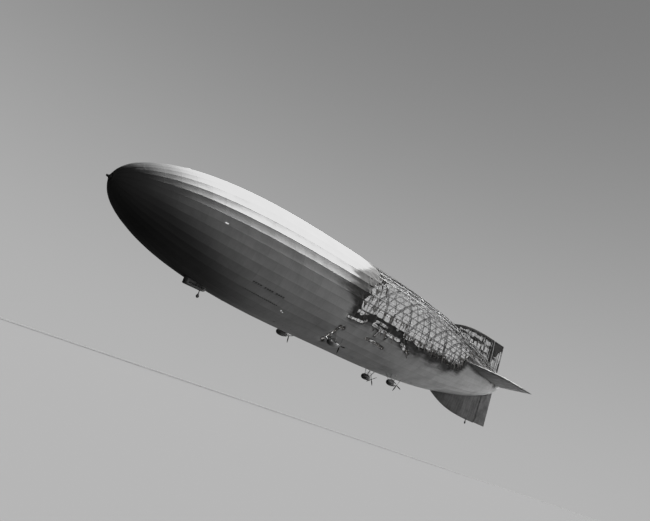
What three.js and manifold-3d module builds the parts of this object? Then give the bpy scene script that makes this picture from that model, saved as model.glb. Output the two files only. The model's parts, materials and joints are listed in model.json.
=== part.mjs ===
// Rigid passenger airship, a 1:10 scale model, burnt open over its stern half.
// Lengths below are metres of the full-size ship, and M turns one of them into model millimetres.
// +X points to the nose, +Y to port and +Z up. The origin is the centre of buoyancy, on the hull's axis.
import * as THREE from 'three';
import { mergeVertices } from 'three/addons/utils/BufferGeometryUtils.js';
import Module from 'manifold-3d';

const wasm = await Module();
wasm.setup();

// Model scale and the hull
const M = 100;
const BUOYANCY = 117.5;
const SIDES = 36;
const COVER = 10;
const FIT = 0.3;

// Columns: metres aft of the nose, hull radius in metres at the corners of the section.
const HULL = [
  [0.3, 1.5], [1.5, 3.7], [3.6, 6.2], [6.8, 8.6], [13.5, 11.9], [22.3, 14.85], [29.8, 16.6],
  [37.3, 17.87], [52.3, 19.5], [67.3, 20.3], [83.8, 20.6], [100.3, 20.6], [116.8, 20.6],
  [133.3, 20.6], [148.3, 20.2], [163.3, 19.4], [178.3, 18.15], [193.3, 16.2], [206.8, 13.9],
  [220.3, 10.9], [232.0, 7.4], [240.3, 4.2], [242.8, 2.6], [244.1, 1.0],
];
const BOW_CAP_END = 6.8;
const TAIL_CONE_START = 240.3;
const TAIL_END = 244.1;

// Columns: node name, first and last metre aft of the nose.
const COVERS = [
  ['cover_bow', 6.8, 52.3], ['cover_forward', 52.3, 100.3], ['cover_middle', 100.3, 148.3],
  ['cover_aft', 148.3, 193.3], ['cover_stern', 193.3, 240.3],
];

// Burnt opening. Columns: metres aft of the nose, height of the ragged edge above the axis.
const BURNT_PORT = [
  [110, 22], [113.5, 17], [113.4, 15], [110.6, 12.8], [111.7, 10.4], [106.3, 8], [104.9, 6.5], [106, 4.4],
  [104.1, 2.4], [101.4, 0], [101.8, -3], [101.2, -5.2], [103.8, -5.6], [106, -4.8], [109, -3.4], [112.8, -2.8],
  [117, -3.5], [121, -3], [125.6, -4.4], [130, -4.2], [133.8, -5.6], [138.7, -5.2], [144, -6.4], [150, -5],
  [156, -6.6], [163, -5.4], [170, -6.8], [176, -4.6], [181, -4.6], [184, 1.5], [189, 3.6], [197, 4.4],
  [205, 3.6], [213, 4.6], [221, 3.2], [229, 3.8], [231.3, 2.6], [231.5, 22],
];
const BURNT_STARBOARD = [
  [110, 22], [111.6, 17], [108.4, 14], [109.8, 11.5], [105.5, 9.5], [104.2, 5.5], [108, 3.5], [111, 0.2],
  [119, 1.2], [126, -1.8], [134, -0.6], [141, -3.4], [149, -2], [157, -4.8], [166, -3.2], [174, -5.2],
  [180, -2.8], [185, 2.8], [193, 3.4], [203, 4.8], [212, 3.4], [222, 4.4], [229, 3.4], [231.3, 2.8], [231.5, 22],
];

// Frame seen through the burnt opening
const RING_WIDTH = 50;
const RING_DEPTH = 80;
const GIRDER_WIDTH = 30;
const GIRDER_DEPTH = 30;
const GIRDERS_EACH_SIDE = 10;
const GIRDER_STEP = 2;
// Columns: node name, first and last metre aft of the nose, places of its main rings.
const FRAMES = [
  ['frame_fore', 96, 140, [100.3, 116.8, 133.3]],
  ['frame_middle', 140, 185.8, [148.3, 163.3, 178.3]],
  ['frame_aft', 185.8, 239.5, [193.3, 206.8, 220.3, 232.0]],
];
const GAS_CELL_AT = 96.6;
const GAS_CELL_BULGE = 2.4;

// Fins and their control surfaces
// Columns: metres aft of the nose, outer edge from the axis, half thickness at the foot, at the outer edge.
const FIN = [
  [187.0, 17.2, 0.15, 0.10], [193.3, 19.3, 0.80, 0.22], [200.0, 21.0, 1.40, 0.32], [206.8, 22.1, 1.75, 0.40],
  [214.0, 22.7, 1.85, 0.45], [222.0, 23.0, 1.60, 0.45], [231.0, 23.0, 1.15, 0.40],
];
const HINGE_AT = 231.6;
const RUDDER_END = 242.6;
const RUDDER_TOP = 22.7;
const RUDDER_FOOT_GAP = 60;
// Aft foot corner cut away, so that a rudder and an elevator at full travel pass each other:
// the metre aft where the cut starts, and its top in metres from the axis.
const CORNER_FROM = 241.7;
const CORNER_TOP = 4.15;
const HINGE_GAP = 6;
const LUG_HEIGHTS = [11.5, 20];
const LUG_THICK = 20;
const LUG_REACH = 30;
const LUG_HALF_WIDTH = 34;
const NOTCH_REACH = 50;
const PIN_RADIUS = 12;
const RUNNING = 0.6;

// Engine cars. Columns: name ending, metres aft of the nose, degrees from the keel line, positive to port.
const CARS = [
  ['forward_port', 98.8, 38], ['forward_starboard', 98.8, -38],
  ['aft_port', 148.3, 18], ['aft_starboard', 148.3, -18],
];
const CAR_OUT = 3.9;
const CAR_NOSE = 3.4;
const CAR_WALL = 0.1;
// Columns: metres behind the car's nose, radius.
const CAR_PROFILE = [[0, 0.6], [0.45, 1.0], [1.3, 1.27], [2.6, 1.35], [4.0, 1.22], [5.4, 0.86], [6.4, 0.42]];
const CAR_SIDES = 16;
const ENGINE = { length: 2.6, width: 1.0, height: 1.7, front: 1.5 };
const PROP_RADIUS = 3.0;
const PROP_PLANE = 7.0;
const SHAFT_RADIUS = 0.12;
// Columns: share of the radius, chord in metres, thickness in metres, pitch in degrees.
const BLADE = [[0.07, 0.26, 0.20, 62], [0.3, 0.46, 0.12, 42], [0.65, 0.46, 0.07, 26], [1.0, 0.22, 0.03, 18]];
const STRUT_RADIUS = 0.11;
// Columns: metres behind the car's nose at the car, the same at the hull, sideways at the car, at the hull.
const STRUTS = [[1.9, 1.2, 0.55, 1.7], [1.9, 1.2, -0.55, -1.7], [4.2, 4.6, 0.5, 1.7], [4.2, 4.6, -0.5, -1.7]];

// Control car and landing wheels
const CABIN = { front: 37.0, back: 46.0, half: 1.25, floor: 20.1, round: 0.35 };
const CABIN_WINDOWS = { low: -19.5, high: -18.95, pitch: 1.25, width: 0.95, count: 5 };
const GLASS = 3;
const WHEEL_RADIUS = 0.62;
const WHEEL_HALF = 0.2;
// Columns: name ending, metres aft of the nose, height of the leg's top, height of the axle.
const LEGS = [['forward', 44.4, -CABIN.floor, -22.2], ['aft', 224.0, -23.0, -24.6]];
const LEG_RADIUS = 0.16;

const PAINT = {
  cover: [0x8f9092, 0.45, 0.3], metal: [0x9a9ca0, 0.4, 0.8], burnt: [0x3a3836, 0.8, 0.2],
  girder: [0x8b8d90, 0.5, 0.7], cell: [0xb9b2a2, 0.9, 0.0], car: [0x9b9da0, 0.4, 0.6],
  engine: [0x4a4c4e, 0.6, 0.6], prop: [0x6a4e34, 0.5, 0.0], glass: [0x9fb4bd, 0.1, 0.0],
  tyre: [0x202020, 0.9, 0.0], dark: [0x55575a, 0.6, 0.4],
};

const ship = new THREE.Group();
const xAt = (s) => (BUOYANCY - s) * M;

// Table lookup: the value in a column at a place between two rows, on a straight line.
function along(table, s, column) {
  let i = 1;
  while (i < table.length - 1 && table[i][0] < s) i += 1;
  const [a, b] = [table[i - 1], table[i]];
  return a[column] + (b[column] - a[column]) * (s - a[0]) / (b[0] - a[0]);
}
const hullRadius = (s) => along(HULL, s, 1) * M;

// Stations of a table between two places, with both ends.
function stations(table, from, to) {
  const inner = table.map((row) => row[0]).filter((s) => s > from + 0.01 && s < to - 0.01);
  return [from, ...inner, to];
}

// Grid solid: rows of points joined in order, with flat ends, or joined back to the first row.
function gridGeometry(rows, joined = false) {
  const n = rows[0].length;
  const index = [];
  const count = joined ? rows.length : rows.length - 1;
  for (let i = 0; i < count; i += 1) {
    const k = (i + 1) % rows.length;
    for (let j = 0; j < n; j += 1) {
      const l = (j + 1) % n;
      index.push(i * n + j, k * n + j, k * n + l, i * n + j, k * n + l, i * n + l);
    }
  }
  if (!joined) {
    const last = (rows.length - 1) * n;
    for (let j = 1; j < n - 1; j += 1) {
      index.push(0, j, j + 1);
      index.push(last, last + j + 1, last + j);
    }
  }
  const geometry = new THREE.BufferGeometry();
  const positions = rows.flat().flatMap((p) => [p.x, p.y, p.z]);
  geometry.setAttribute('position', new THREE.Float32BufferAttribute(positions, 3));
  geometry.setIndex(signedVolume(positions, index) < 0 ? index.reverse() : index);
  return geometry;
}

function signedVolume(positions, index) {
  const at = (i) => new THREE.Vector3(positions[3 * i], positions[3 * i + 1], positions[3 * i + 2]);
  let sum = 0;
  for (let i = 0; i < index.length; i += 3) {
    sum += at(index[i]).dot(at(index[i + 1]).cross(at(index[i + 2])));
  }
  return sum;
}

// Solids for cutting and joining
function solidOf(geometry) {
  const bare = geometry.clone();
  bare.deleteAttribute('normal');
  bare.deleteAttribute('uv');
  const merged = mergeVertices(bare, 1e-3);
  const vertProperties = new Float32Array(merged.attributes.position.array);
  const triVerts = new Uint32Array(merged.index.array);
  return new wasm.Manifold(new wasm.Mesh({ numProp: 3, vertProperties, triVerts }));
}

function geometryOf(solid) {
  const mesh = solid.getMesh();
  const geometry = new THREE.BufferGeometry();
  geometry.setAttribute('position', new THREE.BufferAttribute(new Float32Array(mesh.vertProperties), 3));
  geometry.setIndex([...mesh.triVerts]);
  return geometry;
}

const placed = (geometry, x, y, z) => geometry.translate(x, y, z);

function add(name, geometry, [color, roughness, metalness]) {
  const material = new THREE.MeshStandardMaterial({ color, roughness, metalness });
  const mesh = new THREE.Mesh(geometry, material);
  mesh.name = name;
  ship.add(mesh);
  return mesh;
}

// Hull section at one place: a polygon with a corner at the keel, its faces moved out by an offset.
function hullLoop(s, offset) {
  const r = hullRadius(s) + offset / Math.cos(Math.PI / SIDES);
  return Array.from({ length: SIDES }, (_, k) => {
    const angle = (2 * Math.PI * k) / SIDES;
    return new THREE.Vector3(xAt(s), r * Math.sin(angle), r * Math.cos(angle));
  });
}

const hullSolid = (from, to, offset) => solidOf(gridGeometry(
  stations(HULL, from, to).map((s) => hullLoop(s, offset)),
));

// Tube of the hull between two places, from one offset in to another.
function hullTube(from, to, outer, inner) {
  const places = stations(HULL, from, to);
  const outside = places.map((s) => hullLoop(s, outer));
  const inside = places.map((s) => hullLoop(s, inner)).reverse();
  return gridGeometry([...outside, ...inside], true);
}

// Prism over the burnt opening on one side of the ship: everything above the ragged edge.
function burntPrism(edge, side) {
  const shape = new THREE.Shape(edge.map(([s, z]) => new THREE.Vector2(xAt(s), z * M)));
  const geometry = new THREE.ExtrudeGeometry(shape, { depth: 25 * M, bevelEnabled: false });
  geometry.rotateX(Math.PI / 2);
  geometry.translate(0, side > 0 ? 25 * M : 0, 0);
  return solidOf(geometry);
}

// Hull covers
const burnt = burntPrism(BURNT_PORT, 1).add(burntPrism(BURNT_STARBOARD, -1));
const seam = FIT / 2 / M;
for (const [name, from, to] of COVERS) {
  const tube = hullTube(from + seam, to - seam, 0, -COVER);
  add(name, geometryOf(solidOf(tube).subtract(burnt)), PAINT.cover);
}

// Bow cap with its mooring spindle
const capOuter = hullSolid(HULL[0][0], BOW_CAP_END - seam, 0);
const capInner = hullSolid(HULL[0][0] + 0.1, BOW_CAP_END + 0.5, -COVER);
add('bow_cap', geometryOf(capOuter.subtract(capInner)), PAINT.metal);

const SPINDLE = [[-1.2, 0.001], [-1.2, 0.3], [-0.9, 0.42], [-0.4, 0.42], [-0.1, 0.75], [0.297, 0.9], [0.297, 0.001]];
const spindle = new THREE.LatheGeometry(
  SPINDLE.map(([s, r]) => new THREE.Vector2(r < 0.01 ? 0 : r * M, -s * M)).reverse(), 24,
);
spindle.rotateZ(-Math.PI / 2);
spindle.translate(xAt(0), 0, 0);
add('mooring_spindle', geometryOf(solidOf(spindle)), PAINT.metal);

// Tail cone
const coneOuter = hullSolid(TAIL_CONE_START + seam, TAIL_END, 0);
const coneInner = hullSolid(TAIL_CONE_START - 0.5, TAIL_END - 0.1, -COVER);
add('tail_cone', geometryOf(coneOuter.subtract(coneInner)), PAINT.metal);

// Longitudinal girders under the cover: flat bars on the corners of the section
const cornerDrop = GIRDER_WIDTH / 2 * Math.tan(Math.PI / SIDES) + FIT;
const girderOuter = (s) => hullRadius(s) - COVER / Math.cos(Math.PI / SIDES) - cornerDrop;
const ringOuter = (s) => girderOuter(s) - GIRDER_DEPTH / 2;

function girder(from, to, k) {
  const angle = (2 * Math.PI * k) / SIDES;
  const out = new THREE.Vector3(0, Math.sin(angle), Math.cos(angle));
  const side = new THREE.Vector3(0, Math.cos(angle), -Math.sin(angle));
  const rows = stations(HULL, from, to).map((s) => {
    const top = girderOuter(s);
    const corners = [[-1, top], [1, top], [1, top - GIRDER_DEPTH], [-1, top - GIRDER_DEPTH]];
    return corners.map(([w, h]) => new THREE.Vector3(xAt(s), 0, 0)
      .addScaledVector(side, w * GIRDER_WIDTH / 2).addScaledVector(out, h));
  });
  return gridGeometry(rows);
}

function joinedSolids(geometries) {
  let total = null;
  for (const geometry of geometries) {
    const solid = solidOf(geometry);
    total = total ? total.add(solid) : solid;
  }
  return total;
}

// Main ring, let into the undersides of the longitudinal girders
function ringLoop(s, inward) {
  const r = ringOuter(s) - inward;
  return hullLoop(s, 0).map((p) => new THREE.Vector3(p.x, p.y * r / hullRadius(s), p.z * r / hullRadius(s)));
}

function mainRing(at) {
  const half = RING_WIDTH / 2 / M;
  const rows = [[at - half, 0], [at + half, 0], [at + half, RING_DEPTH], [at - half, RING_DEPTH]];
  return gridGeometry(rows.map(([s, inward]) => ringLoop(s, inward)), true);
}

for (const [name, from, to, rings] of FRAMES) {
  const members = rings.map(mainRing);
  for (let k = -GIRDERS_EACH_SIDE; k <= GIRDERS_EACH_SIDE; k += GIRDER_STEP) {
    members.push(girder(from + seam, to - seam, k));
  }
  add(name, geometryOf(joinedSolids(members)), PAINT.girder);
}

// End of the last whole gas cell: a thin dome inside the girders, bulging aft
// Columns: share of the bulge, share of the radius.
const CELL_ROWS = [[-0.2, 1], [0, 1], [0.5, 0.9], [0.9, 0.5], [1, 0.1]];
function cellPlug(shift) {
  const rim = ringLoop(GAS_CELL_AT, GIRDER_DEPTH / 2 + FIT);
  return solidOf(gridGeometry(CELL_ROWS.map(([bulge, share]) => rim.map((p) => new THREE.Vector3(
    xAt(GAS_CELL_AT + shift + GAS_CELL_BULGE * bulge), p.y * share, p.z * share,
  )))));
}
const cellFront = hullSolid(GAS_CELL_AT - 3, GAS_CELL_AT, COVER);
add('gas_cell_end', geometryOf(cellPlug(COVER / M).subtract(cellPlug(0)).subtract(cellFront)), PAINT.cell);

// Fin, built pointing up: a loft of eight-cornered sections along the ship
function finGeometry() {
  const rows = FIN.map(([s, outer, foot, tip]) => {
    const low = hullRadius(s) - 60;
    const high = outer * M;
    const near = high - Math.min(60, (high - low) * 0.3);
    const half = [[foot, low], [tip + (foot - tip) * 0.15, near], [tip * 0.6, high]];
    const points = [...half, ...half.slice().reverse().map(([w, h]) => [-w, h])];
    return points.map(([w, h]) => new THREE.Vector3(xAt(s), w * M, h));
  });
  return gridGeometry(rows);
}

// Half thickness of a control surface at its hinge, by height above the axis.
const HINGE_THICK = [[7, 1.1], [23, 0.42]];
const noseRadius = (h) => along(HINGE_THICK, h, 1) * M;

// Cone round the hinge line, grown by a gap.
function hingeCone(gap) {
  const [low, high] = [4, 24];
  const cone = new THREE.CylinderGeometry(noseRadius(high) + gap, noseRadius(low) + gap, (high - low) * M, 24);
  cone.rotateX(Math.PI / 2);
  return placed(cone, xAt(HINGE_AT), 0, (high + low) / 2 * M);
}

function pinGeometry(radius, h, length) {
  const pin = new THREE.CylinderGeometry(radius, radius, length, 16);
  pin.rotateX(Math.PI / 2);
  return placed(pin, xAt(HINGE_AT), 0, h * M);
}

function lugSolid(h) {
  const reach = new THREE.BoxGeometry(130, LUG_HALF_WIDTH * 2, LUG_THICK);
  const plate = solidOf(placed(reach, xAt(HINGE_AT) + 65 - LUG_REACH, 0, h * M));
  return plate.subtract(solidOf(pinGeometry(PIN_RADIUS + RUNNING, h, LUG_THICK * 2)));
}

function finSolid(footOffset) {
  const foot = hullSolid(180, TAIL_CONE_START, footOffset);
  let fin = solidOf(finGeometry()).subtract(foot).subtract(solidOf(hingeCone(HINGE_GAP)));
  for (const h of LUG_HEIGHTS) fin = fin.add(lugSolid(h));
  return fin;
}

function controlSurface() {
  const low = 4;
  const rows = [low, RUDDER_TOP].map((h) => {
    const r = noseRadius(h);
    const nose = Array.from({ length: 9 }, (_, i) => {
      const angle = Math.PI * i / 8;
      return [xAt(HINGE_AT) + r * Math.sin(angle), r * Math.cos(angle)];
    });
    const outline = [[xAt(RUDDER_END), 6], ...nose, [xAt(RUDDER_END), -6]];
    return outline.map(([x, y]) => new THREE.Vector3(x, y, h * M));
  });
  const block = new THREE.BoxGeometry((TAIL_END - CORNER_FROM) * M, 600, CORNER_TOP * M);
  const corner = placed(block, xAt((TAIL_END + CORNER_FROM) / 2), 0, CORNER_TOP / 2 * M);
  let surface = solidOf(gridGeometry(rows)).subtract(hullSolid(225, TAIL_END, RUDDER_FOOT_GAP));
  surface = surface.subtract(solidOf(corner));
  for (const h of LUG_HEIGHTS) {
    const depth = NOTCH_REACH + 200;
    const notch = new THREE.BoxGeometry(depth, 300, LUG_THICK + 2 * HINGE_GAP);
    const slot = solidOf(placed(notch, xAt(HINGE_AT) - NOTCH_REACH + depth / 2, 0, h * M));
    surface = surface.subtract(slot).add(solidOf(pinGeometry(PIN_RADIUS, h, LUG_THICK + 4 * HINGE_GAP)));
  }
  return surface;
}

// Openings burnt through the upper fin and rudder between their spars and ribs.
// Columns of a bay: front and back metre aft. Columns of a tier: low and high from the axis.
const FIN_BAYS = [[200.4, 206.2], [207.4, 213.6], [214.8, 221.2], [222.4, 228.8]];
const RUDDER_BAYS = [[233.4, 236.9], [238.0, 241.4]];
const TIERS = [[9.0, 13.0], [14.0, 17.4], [18.4, 21.4]];
const FOOT_KEPT = 1.0;
const EDGE_KEPT = 1.6;
const SMALLEST_OPENING = 1.2;

function finHoles() {
  return FIN_BAYS.flatMap(([front, back]) => TIERS.map(([low, high]) => [
    front, back, Math.max(low, hullRadius(front) / M + FOOT_KEPT), Math.min(high, along(FIN, front, 1) - EDGE_KEPT),
  ])).filter(([, , low, high]) => high - low > SMALLEST_OPENING);
}

// The rudder keeps its upper aft corner whole.
function rudderHoles() {
  const [forward, aft] = RUDDER_BAYS;
  return [...TIERS.map((tier) => [...forward, ...tier]), ...TIERS.slice(0, 2).map((tier) => [...aft, ...tier])];
}

function cutHoles(solid, holes) {
  let left = solid;
  for (const [front, back, low, high] of holes) {
    const box = new THREE.BoxGeometry((back - front) * M, 600, (high - low) * M);
    left = left.subtract(solidOf(placed(box, xAt((front + back) / 2), 0, (low + high) / 2 * M)));
  }
  return left;
}

// Columns: fin name, control surface name, turn about the axis in degrees from straight up.
const FINS = [
  ['fin_upper', 'rudder_upper', 0], ['fin_port', 'elevator_port', -90],
  ['fin_lower', 'rudder_lower', 180], ['fin_starboard', 'elevator_starboard', 90],
];
for (const [fin, surface, turn] of FINS) {
  const upper = turn === 0;
  const finBody = upper ? cutHoles(finSolid(-COVER), finHoles()) : finSolid(FIT);
  const surfaceBody = upper ? cutHoles(controlSurface(), rudderHoles()) : controlSurface();
  const angle = THREE.MathUtils.degToRad(turn);
  add(fin, geometryOf(finBody).rotateX(angle), upper ? PAINT.burnt : PAINT.cover);
  add(surface, geometryOf(surfaceBody).rotateX(angle), upper ? PAINT.burnt : PAINT.cover);
}

// Engine cars: a shell open at its nose and tail, with its struts, an engine and a propeller
function carShell(inset, closed) {
  const outer = CAR_PROFILE.map(([d, r]) => new THREE.Vector2((r - inset) * M, -d * M));
  if (closed) {
    return new THREE.LatheGeometry(
      [new THREE.Vector2(0, outer[0].y), ...outer, new THREE.Vector2(0, outer.at(-1).y)].reverse(), CAR_SIDES,
    );
  }
  const inner = CAR_PROFILE.map(([d, r]) => new THREE.Vector2((r - CAR_WALL) * M, -d * M)).reverse();
  return new THREE.LatheGeometry([...outer, ...inner, outer[0]].reverse(), CAR_SIDES);
}

function rod(a, b, radius, sides) {
  const length = a.distanceTo(b);
  const bar = new THREE.CylinderGeometry(radius, radius, length, sides);
  const turn = new THREE.Quaternion().setFromUnitVectors(
    new THREE.Vector3(0, 1, 0), b.clone().sub(a).normalize(),
  );
  bar.applyQuaternion(turn);
  const middle = a.clone().add(b).multiplyScalar(0.5);
  return placed(bar, middle.x, middle.y, middle.z);
}

function bladeGeometry() {
  const rows = BLADE.map(([share, chord, thick, pitch]) => {
    const turn = THREE.MathUtils.degToRad(pitch);
    const section = [[-0.5, 0], [-0.1, 0.5], [0.5, 0], [-0.1, -0.5]];
    return section.map(([c, t]) => {
      const across = c * chord;
      const through = t * thick;
      const x = -across * Math.sin(turn) + through * Math.cos(turn);
      const y = across * Math.cos(turn) + through * Math.sin(turn);
      return new THREE.Vector3(x * M, y * M, share * PROP_RADIUS * M);
    });
  });
  return gridGeometry(rows);
}

// Propeller round the X axis, with its plane at x = 0 and its shaft running forward.
function propellerSolid(shaftLength) {
  const SPINNER = [[-0.55, 0], [-0.5, 0.12], [-0.25, 0.3], [0.3, 0.34], [0.3, 0]];
  const spinner = new THREE.LatheGeometry(SPINNER.map(([x, r]) => new THREE.Vector2(r * M, x * M)), 16);
  spinner.rotateZ(-Math.PI / 2);
  let body = solidOf(spinner);
  const shaft = rod(new THREE.Vector3(0, 0, 0), new THREE.Vector3(shaftLength, 0, 0), SHAFT_RADIUS * M, 12);
  body = body.add(solidOf(shaft));
  for (let k = 0; k < 4; k += 1) {
    body = body.add(solidOf(bladeGeometry().rotateX(Math.PI / 2 * k + Math.PI / 4)));
  }
  return body;
}

// Car's own frame: nose at the origin, +X forward, +Z towards the hull.
function carParts() {
  let shell = solidOf(carShell(0, false).rotateZ(-Math.PI / 2));
  const engineBack = ENGINE.front + ENGINE.length;
  const box = new THREE.BoxGeometry(ENGINE.length * M, ENGINE.width * M, ENGINE.height * M);
  placed(box, -(ENGINE.front + engineBack) / 2 * M, 0, (ENGINE.height / 2 - 1.24) * M);
  const inside = solidOf(carShell(CAR_WALL + FIT / M, true).rotateZ(-Math.PI / 2));
  const engine = solidOf(box).intersect(inside);
  const shaftLength = (PROP_PLANE - engineBack) * M - RUNNING;
  return { shell, engine, propeller: propellerSolid(shaftLength) };
}

for (const [name, at, degrees] of CARS) {
  const angle = THREE.MathUtils.degToRad(degrees);
  const reach = hullRadius(at) + CAR_OUT * M;
  const centre = new THREE.Vector3(xAt(at - CAR_NOSE), reach * Math.sin(angle), -reach * Math.cos(angle));
  const place = new THREE.Matrix4().makeRotationX(angle).setPosition(centre);
  const { shell, engine, propeller } = carParts();
  let car = solidOf(geometryOf(shell).applyMatrix4(place));
  const carWhole = solidOf(carShell(CAR_WALL / 2, true).rotateZ(-Math.PI / 2).applyMatrix4(place));
  const hullNear = hullSolid(at - 8, at + 8, FIT);
  for (const [dCar, dHull, wCar, wHull] of STRUTS) {
    const a = new THREE.Vector3(-dCar * M, wCar * M, 0.9 * M).applyMatrix4(place);
    const b = new THREE.Vector3(-dHull * M, wHull * M, (CAR_OUT + 0.6) * M).applyMatrix4(place);
    const strut = solidOf(rod(a, b, STRUT_RADIUS * M, 8)).subtract(hullNear).subtract(carWhole);
    car = car.add(strut);
  }
  add(`engine_car_${name}`, geometryOf(car), PAINT.car);
  add(`engine_${name}`, geometryOf(engine).applyMatrix4(place), PAINT.engine);
  const prop = geometryOf(propeller).translate(-PROP_PLANE * M, 0, 0).applyMatrix4(place);
  add(`propeller_${name}`, prop, PAINT.prop);
}

// Control car: a tub with rounded ends under the bow, open to the hull, with its windows cut
function cabinShape(inset) {
  const half = CABIN.half * M - inset;
  const front = xAt(CABIN.front) - inset;
  const back = xAt(CABIN.back) + inset;
  const shape = new THREE.Shape();
  shape.moveTo(back + half * 0.9, -half);
  shape.lineTo(front - half, -half);
  shape.absarc(front - half, 0, half, -Math.PI / 2, Math.PI / 2, false);
  shape.lineTo(back + half * 0.9, half);
  shape.quadraticCurveTo(back, half * 0.9, back, 0);
  shape.quadraticCurveTo(back, -half * 0.9, back + half * 0.9, -half);
  return shape;
}

function cabinSolid(inset, lift, height, bevel) {
  const geometry = new THREE.ExtrudeGeometry(cabinShape(inset + bevel), {
    depth: height, bevelEnabled: bevel > 0, bevelThickness: bevel, bevelSize: bevel, bevelSegments: 2, curveSegments: 6,
  });
  return solidOf(placed(geometry, 0, 0, -CABIN.floor * M + lift + bevel));
}

const bowHull = hullSolid(25, 50, FIT);
const cabinBevel = CABIN.round * M;
let cabin = cabinSolid(0, 0, 420, cabinBevel).subtract(cabinSolid(COVER, COVER, 420, cabinBevel));
const windowMiddle = (CABIN.front + CABIN.back) / 2;
const windowHeight = (CABIN_WINDOWS.high - CABIN_WINDOWS.low) * M;
const windowAt = (CABIN_WINDOWS.high + CABIN_WINDOWS.low) / 2 * M;
for (let i = 0; i < CABIN_WINDOWS.count; i += 1) {
  const s = windowMiddle + (i - (CABIN_WINDOWS.count - 1) / 2) * CABIN_WINDOWS.pitch;
  const hole = new THREE.BoxGeometry(CABIN_WINDOWS.width * M, 400, windowHeight);
  cabin = cabin.subtract(solidOf(placed(hole, xAt(s), 0, windowAt)));
}
for (const side of [-1, 1]) {
  const hole = new THREE.BoxGeometry(1300, 0.62 * M, windowHeight);
  cabin = cabin.subtract(solidOf(placed(hole, xAt(windowMiddle), side * 0.42 * M, windowAt)));
}
cabin = cabin.subtract(bowHull);
add('control_car', geometryOf(cabin), PAINT.car);

const glassInset = COVER + FIT;
const bandBox = new THREE.BoxGeometry(1400, 400, windowHeight + 16);
const band = cabinSolid(glassInset, glassInset, 420, cabinBevel)
  .subtract(cabinSolid(glassInset + GLASS, glassInset, 420, cabinBevel))
  .intersect(solidOf(placed(bandBox, xAt(windowMiddle), 0, windowAt)));
add('control_car_glass', geometryOf(band), PAINT.glass);

// Landing wheels: a fixed leg, a fork that swivels in it and a wheel
const cylinderZ = (radius, low, high, sides) => {
  const geometry = new THREE.CylinderGeometry(radius, radius, high - low, sides);
  geometry.rotateX(Math.PI / 2);
  return solidOf(placed(geometry, 0, 0, (low + high) / 2));
};
const boxAt = (x, y, z, dx, dy, dz) => solidOf(placed(new THREE.BoxGeometry(dx, dy, dz), x, y, z));
const cylinderY = (radius, length, z) => {
  const geometry = new THREE.CylinderGeometry(radius, radius, length, 20);
  return solidOf(placed(geometry, 0, 0, z));
};

const KINGPIN = 7;
const CHEEK = 8;
const CROWN = 16;
const CLEAR = 5;
for (const [name, at, top, axle] of LEGS) {
  const wheelTop = axle * M + WHEEL_RADIUS * M;
  const crownLow = wheelTop + CLEAR + 2;
  const crownHigh = crownLow + CROWN;
  const legLow = crownHigh + CLEAR;
  const cheekIn = WHEEL_HALF * M + CLEAR;
  let leg = cylinderZ(LEG_RADIUS * M, legLow, top * M - FIT, 16);
  leg = leg.add(cylinderZ(LEG_RADIUS * M * 1.9, top * M - FIT - 12, top * M - FIT, 16));
  leg = leg.subtract(cylinderZ(KINGPIN + RUNNING, legLow - 5, legLow + 25, 16));
  let fork = boxAt(0, 0, (crownLow + crownHigh) / 2, 46, 2 * (cheekIn + CHEEK), CROWN);
  for (const side of [-1, 1]) {
    const low = axle * M - 20;
    fork = fork.add(boxAt(0, side * (cheekIn + CHEEK / 2), (low + crownHigh) / 2, 36, CHEEK, crownHigh - low));
  }
  fork = fork.add(cylinderZ(KINGPIN, crownHigh - 2, legLow + 24, 16));
  fork = fork.subtract(cylinderY(8 + RUNNING, 400, axle * M));
  let wheel = cylinderY(WHEEL_RADIUS * M, WHEEL_HALF * 2 * M, axle * M);
  wheel = wheel.add(cylinderY(8, 2 * (cheekIn + CHEEK), axle * M));
  const place = (solid) => geometryOf(solid).translate(xAt(at), 0, 0);
  add(`landing_leg_${name}`, place(leg), PAINT.metal);
  add(`wheel_fork_${name}`, place(fork), PAINT.dark);
  add(`landing_wheel_${name}`, place(wheel), PAINT.tyre);
}

export default ship;
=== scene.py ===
"""Looks of a rigid passenger airship, a 1:10 scale model, burnt open over its stern half."""
import json
import math
import bpy
import numpy as np
from mathutils import Matrix


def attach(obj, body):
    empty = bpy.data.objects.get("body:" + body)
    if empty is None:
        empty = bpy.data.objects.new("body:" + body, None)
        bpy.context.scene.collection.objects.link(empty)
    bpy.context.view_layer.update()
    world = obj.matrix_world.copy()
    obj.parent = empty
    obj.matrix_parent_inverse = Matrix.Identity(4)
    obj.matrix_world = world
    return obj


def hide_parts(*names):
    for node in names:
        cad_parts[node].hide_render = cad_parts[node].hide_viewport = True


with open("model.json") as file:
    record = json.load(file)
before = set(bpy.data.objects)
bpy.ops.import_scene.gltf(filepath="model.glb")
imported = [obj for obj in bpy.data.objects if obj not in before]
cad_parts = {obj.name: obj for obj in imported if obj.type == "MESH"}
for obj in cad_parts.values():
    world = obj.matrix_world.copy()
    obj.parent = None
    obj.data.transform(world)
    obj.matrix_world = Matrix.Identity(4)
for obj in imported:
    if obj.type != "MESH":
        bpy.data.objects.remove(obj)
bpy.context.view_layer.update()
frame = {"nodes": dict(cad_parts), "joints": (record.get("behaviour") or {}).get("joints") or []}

# Ship space: metres of the full-size ship as (aft of the nose, to port, up from the axis).
# M turns one of them into model metres, and BUOYANCY is the place of the frame's origin.
M = 0.1
BUOYANCY = 117.5
# The hull's section is a polygon: its corners in degrees from the keel, its radius at the middle of a side.
SIDES = 36
FACET = 360 / SIDES
CORNERS = np.arange(SIDES) * FACET
MID_FACET = math.cos(math.radians(FACET / 2))
COVER = 0.1
SEAM = 0.0015
# Metres from a burnt edge at which cloth is clean, and a distance that stands for nowhere near.
CLEAN = 30.0
NOWHERE = 99.0
WIRE = 0.035


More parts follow.
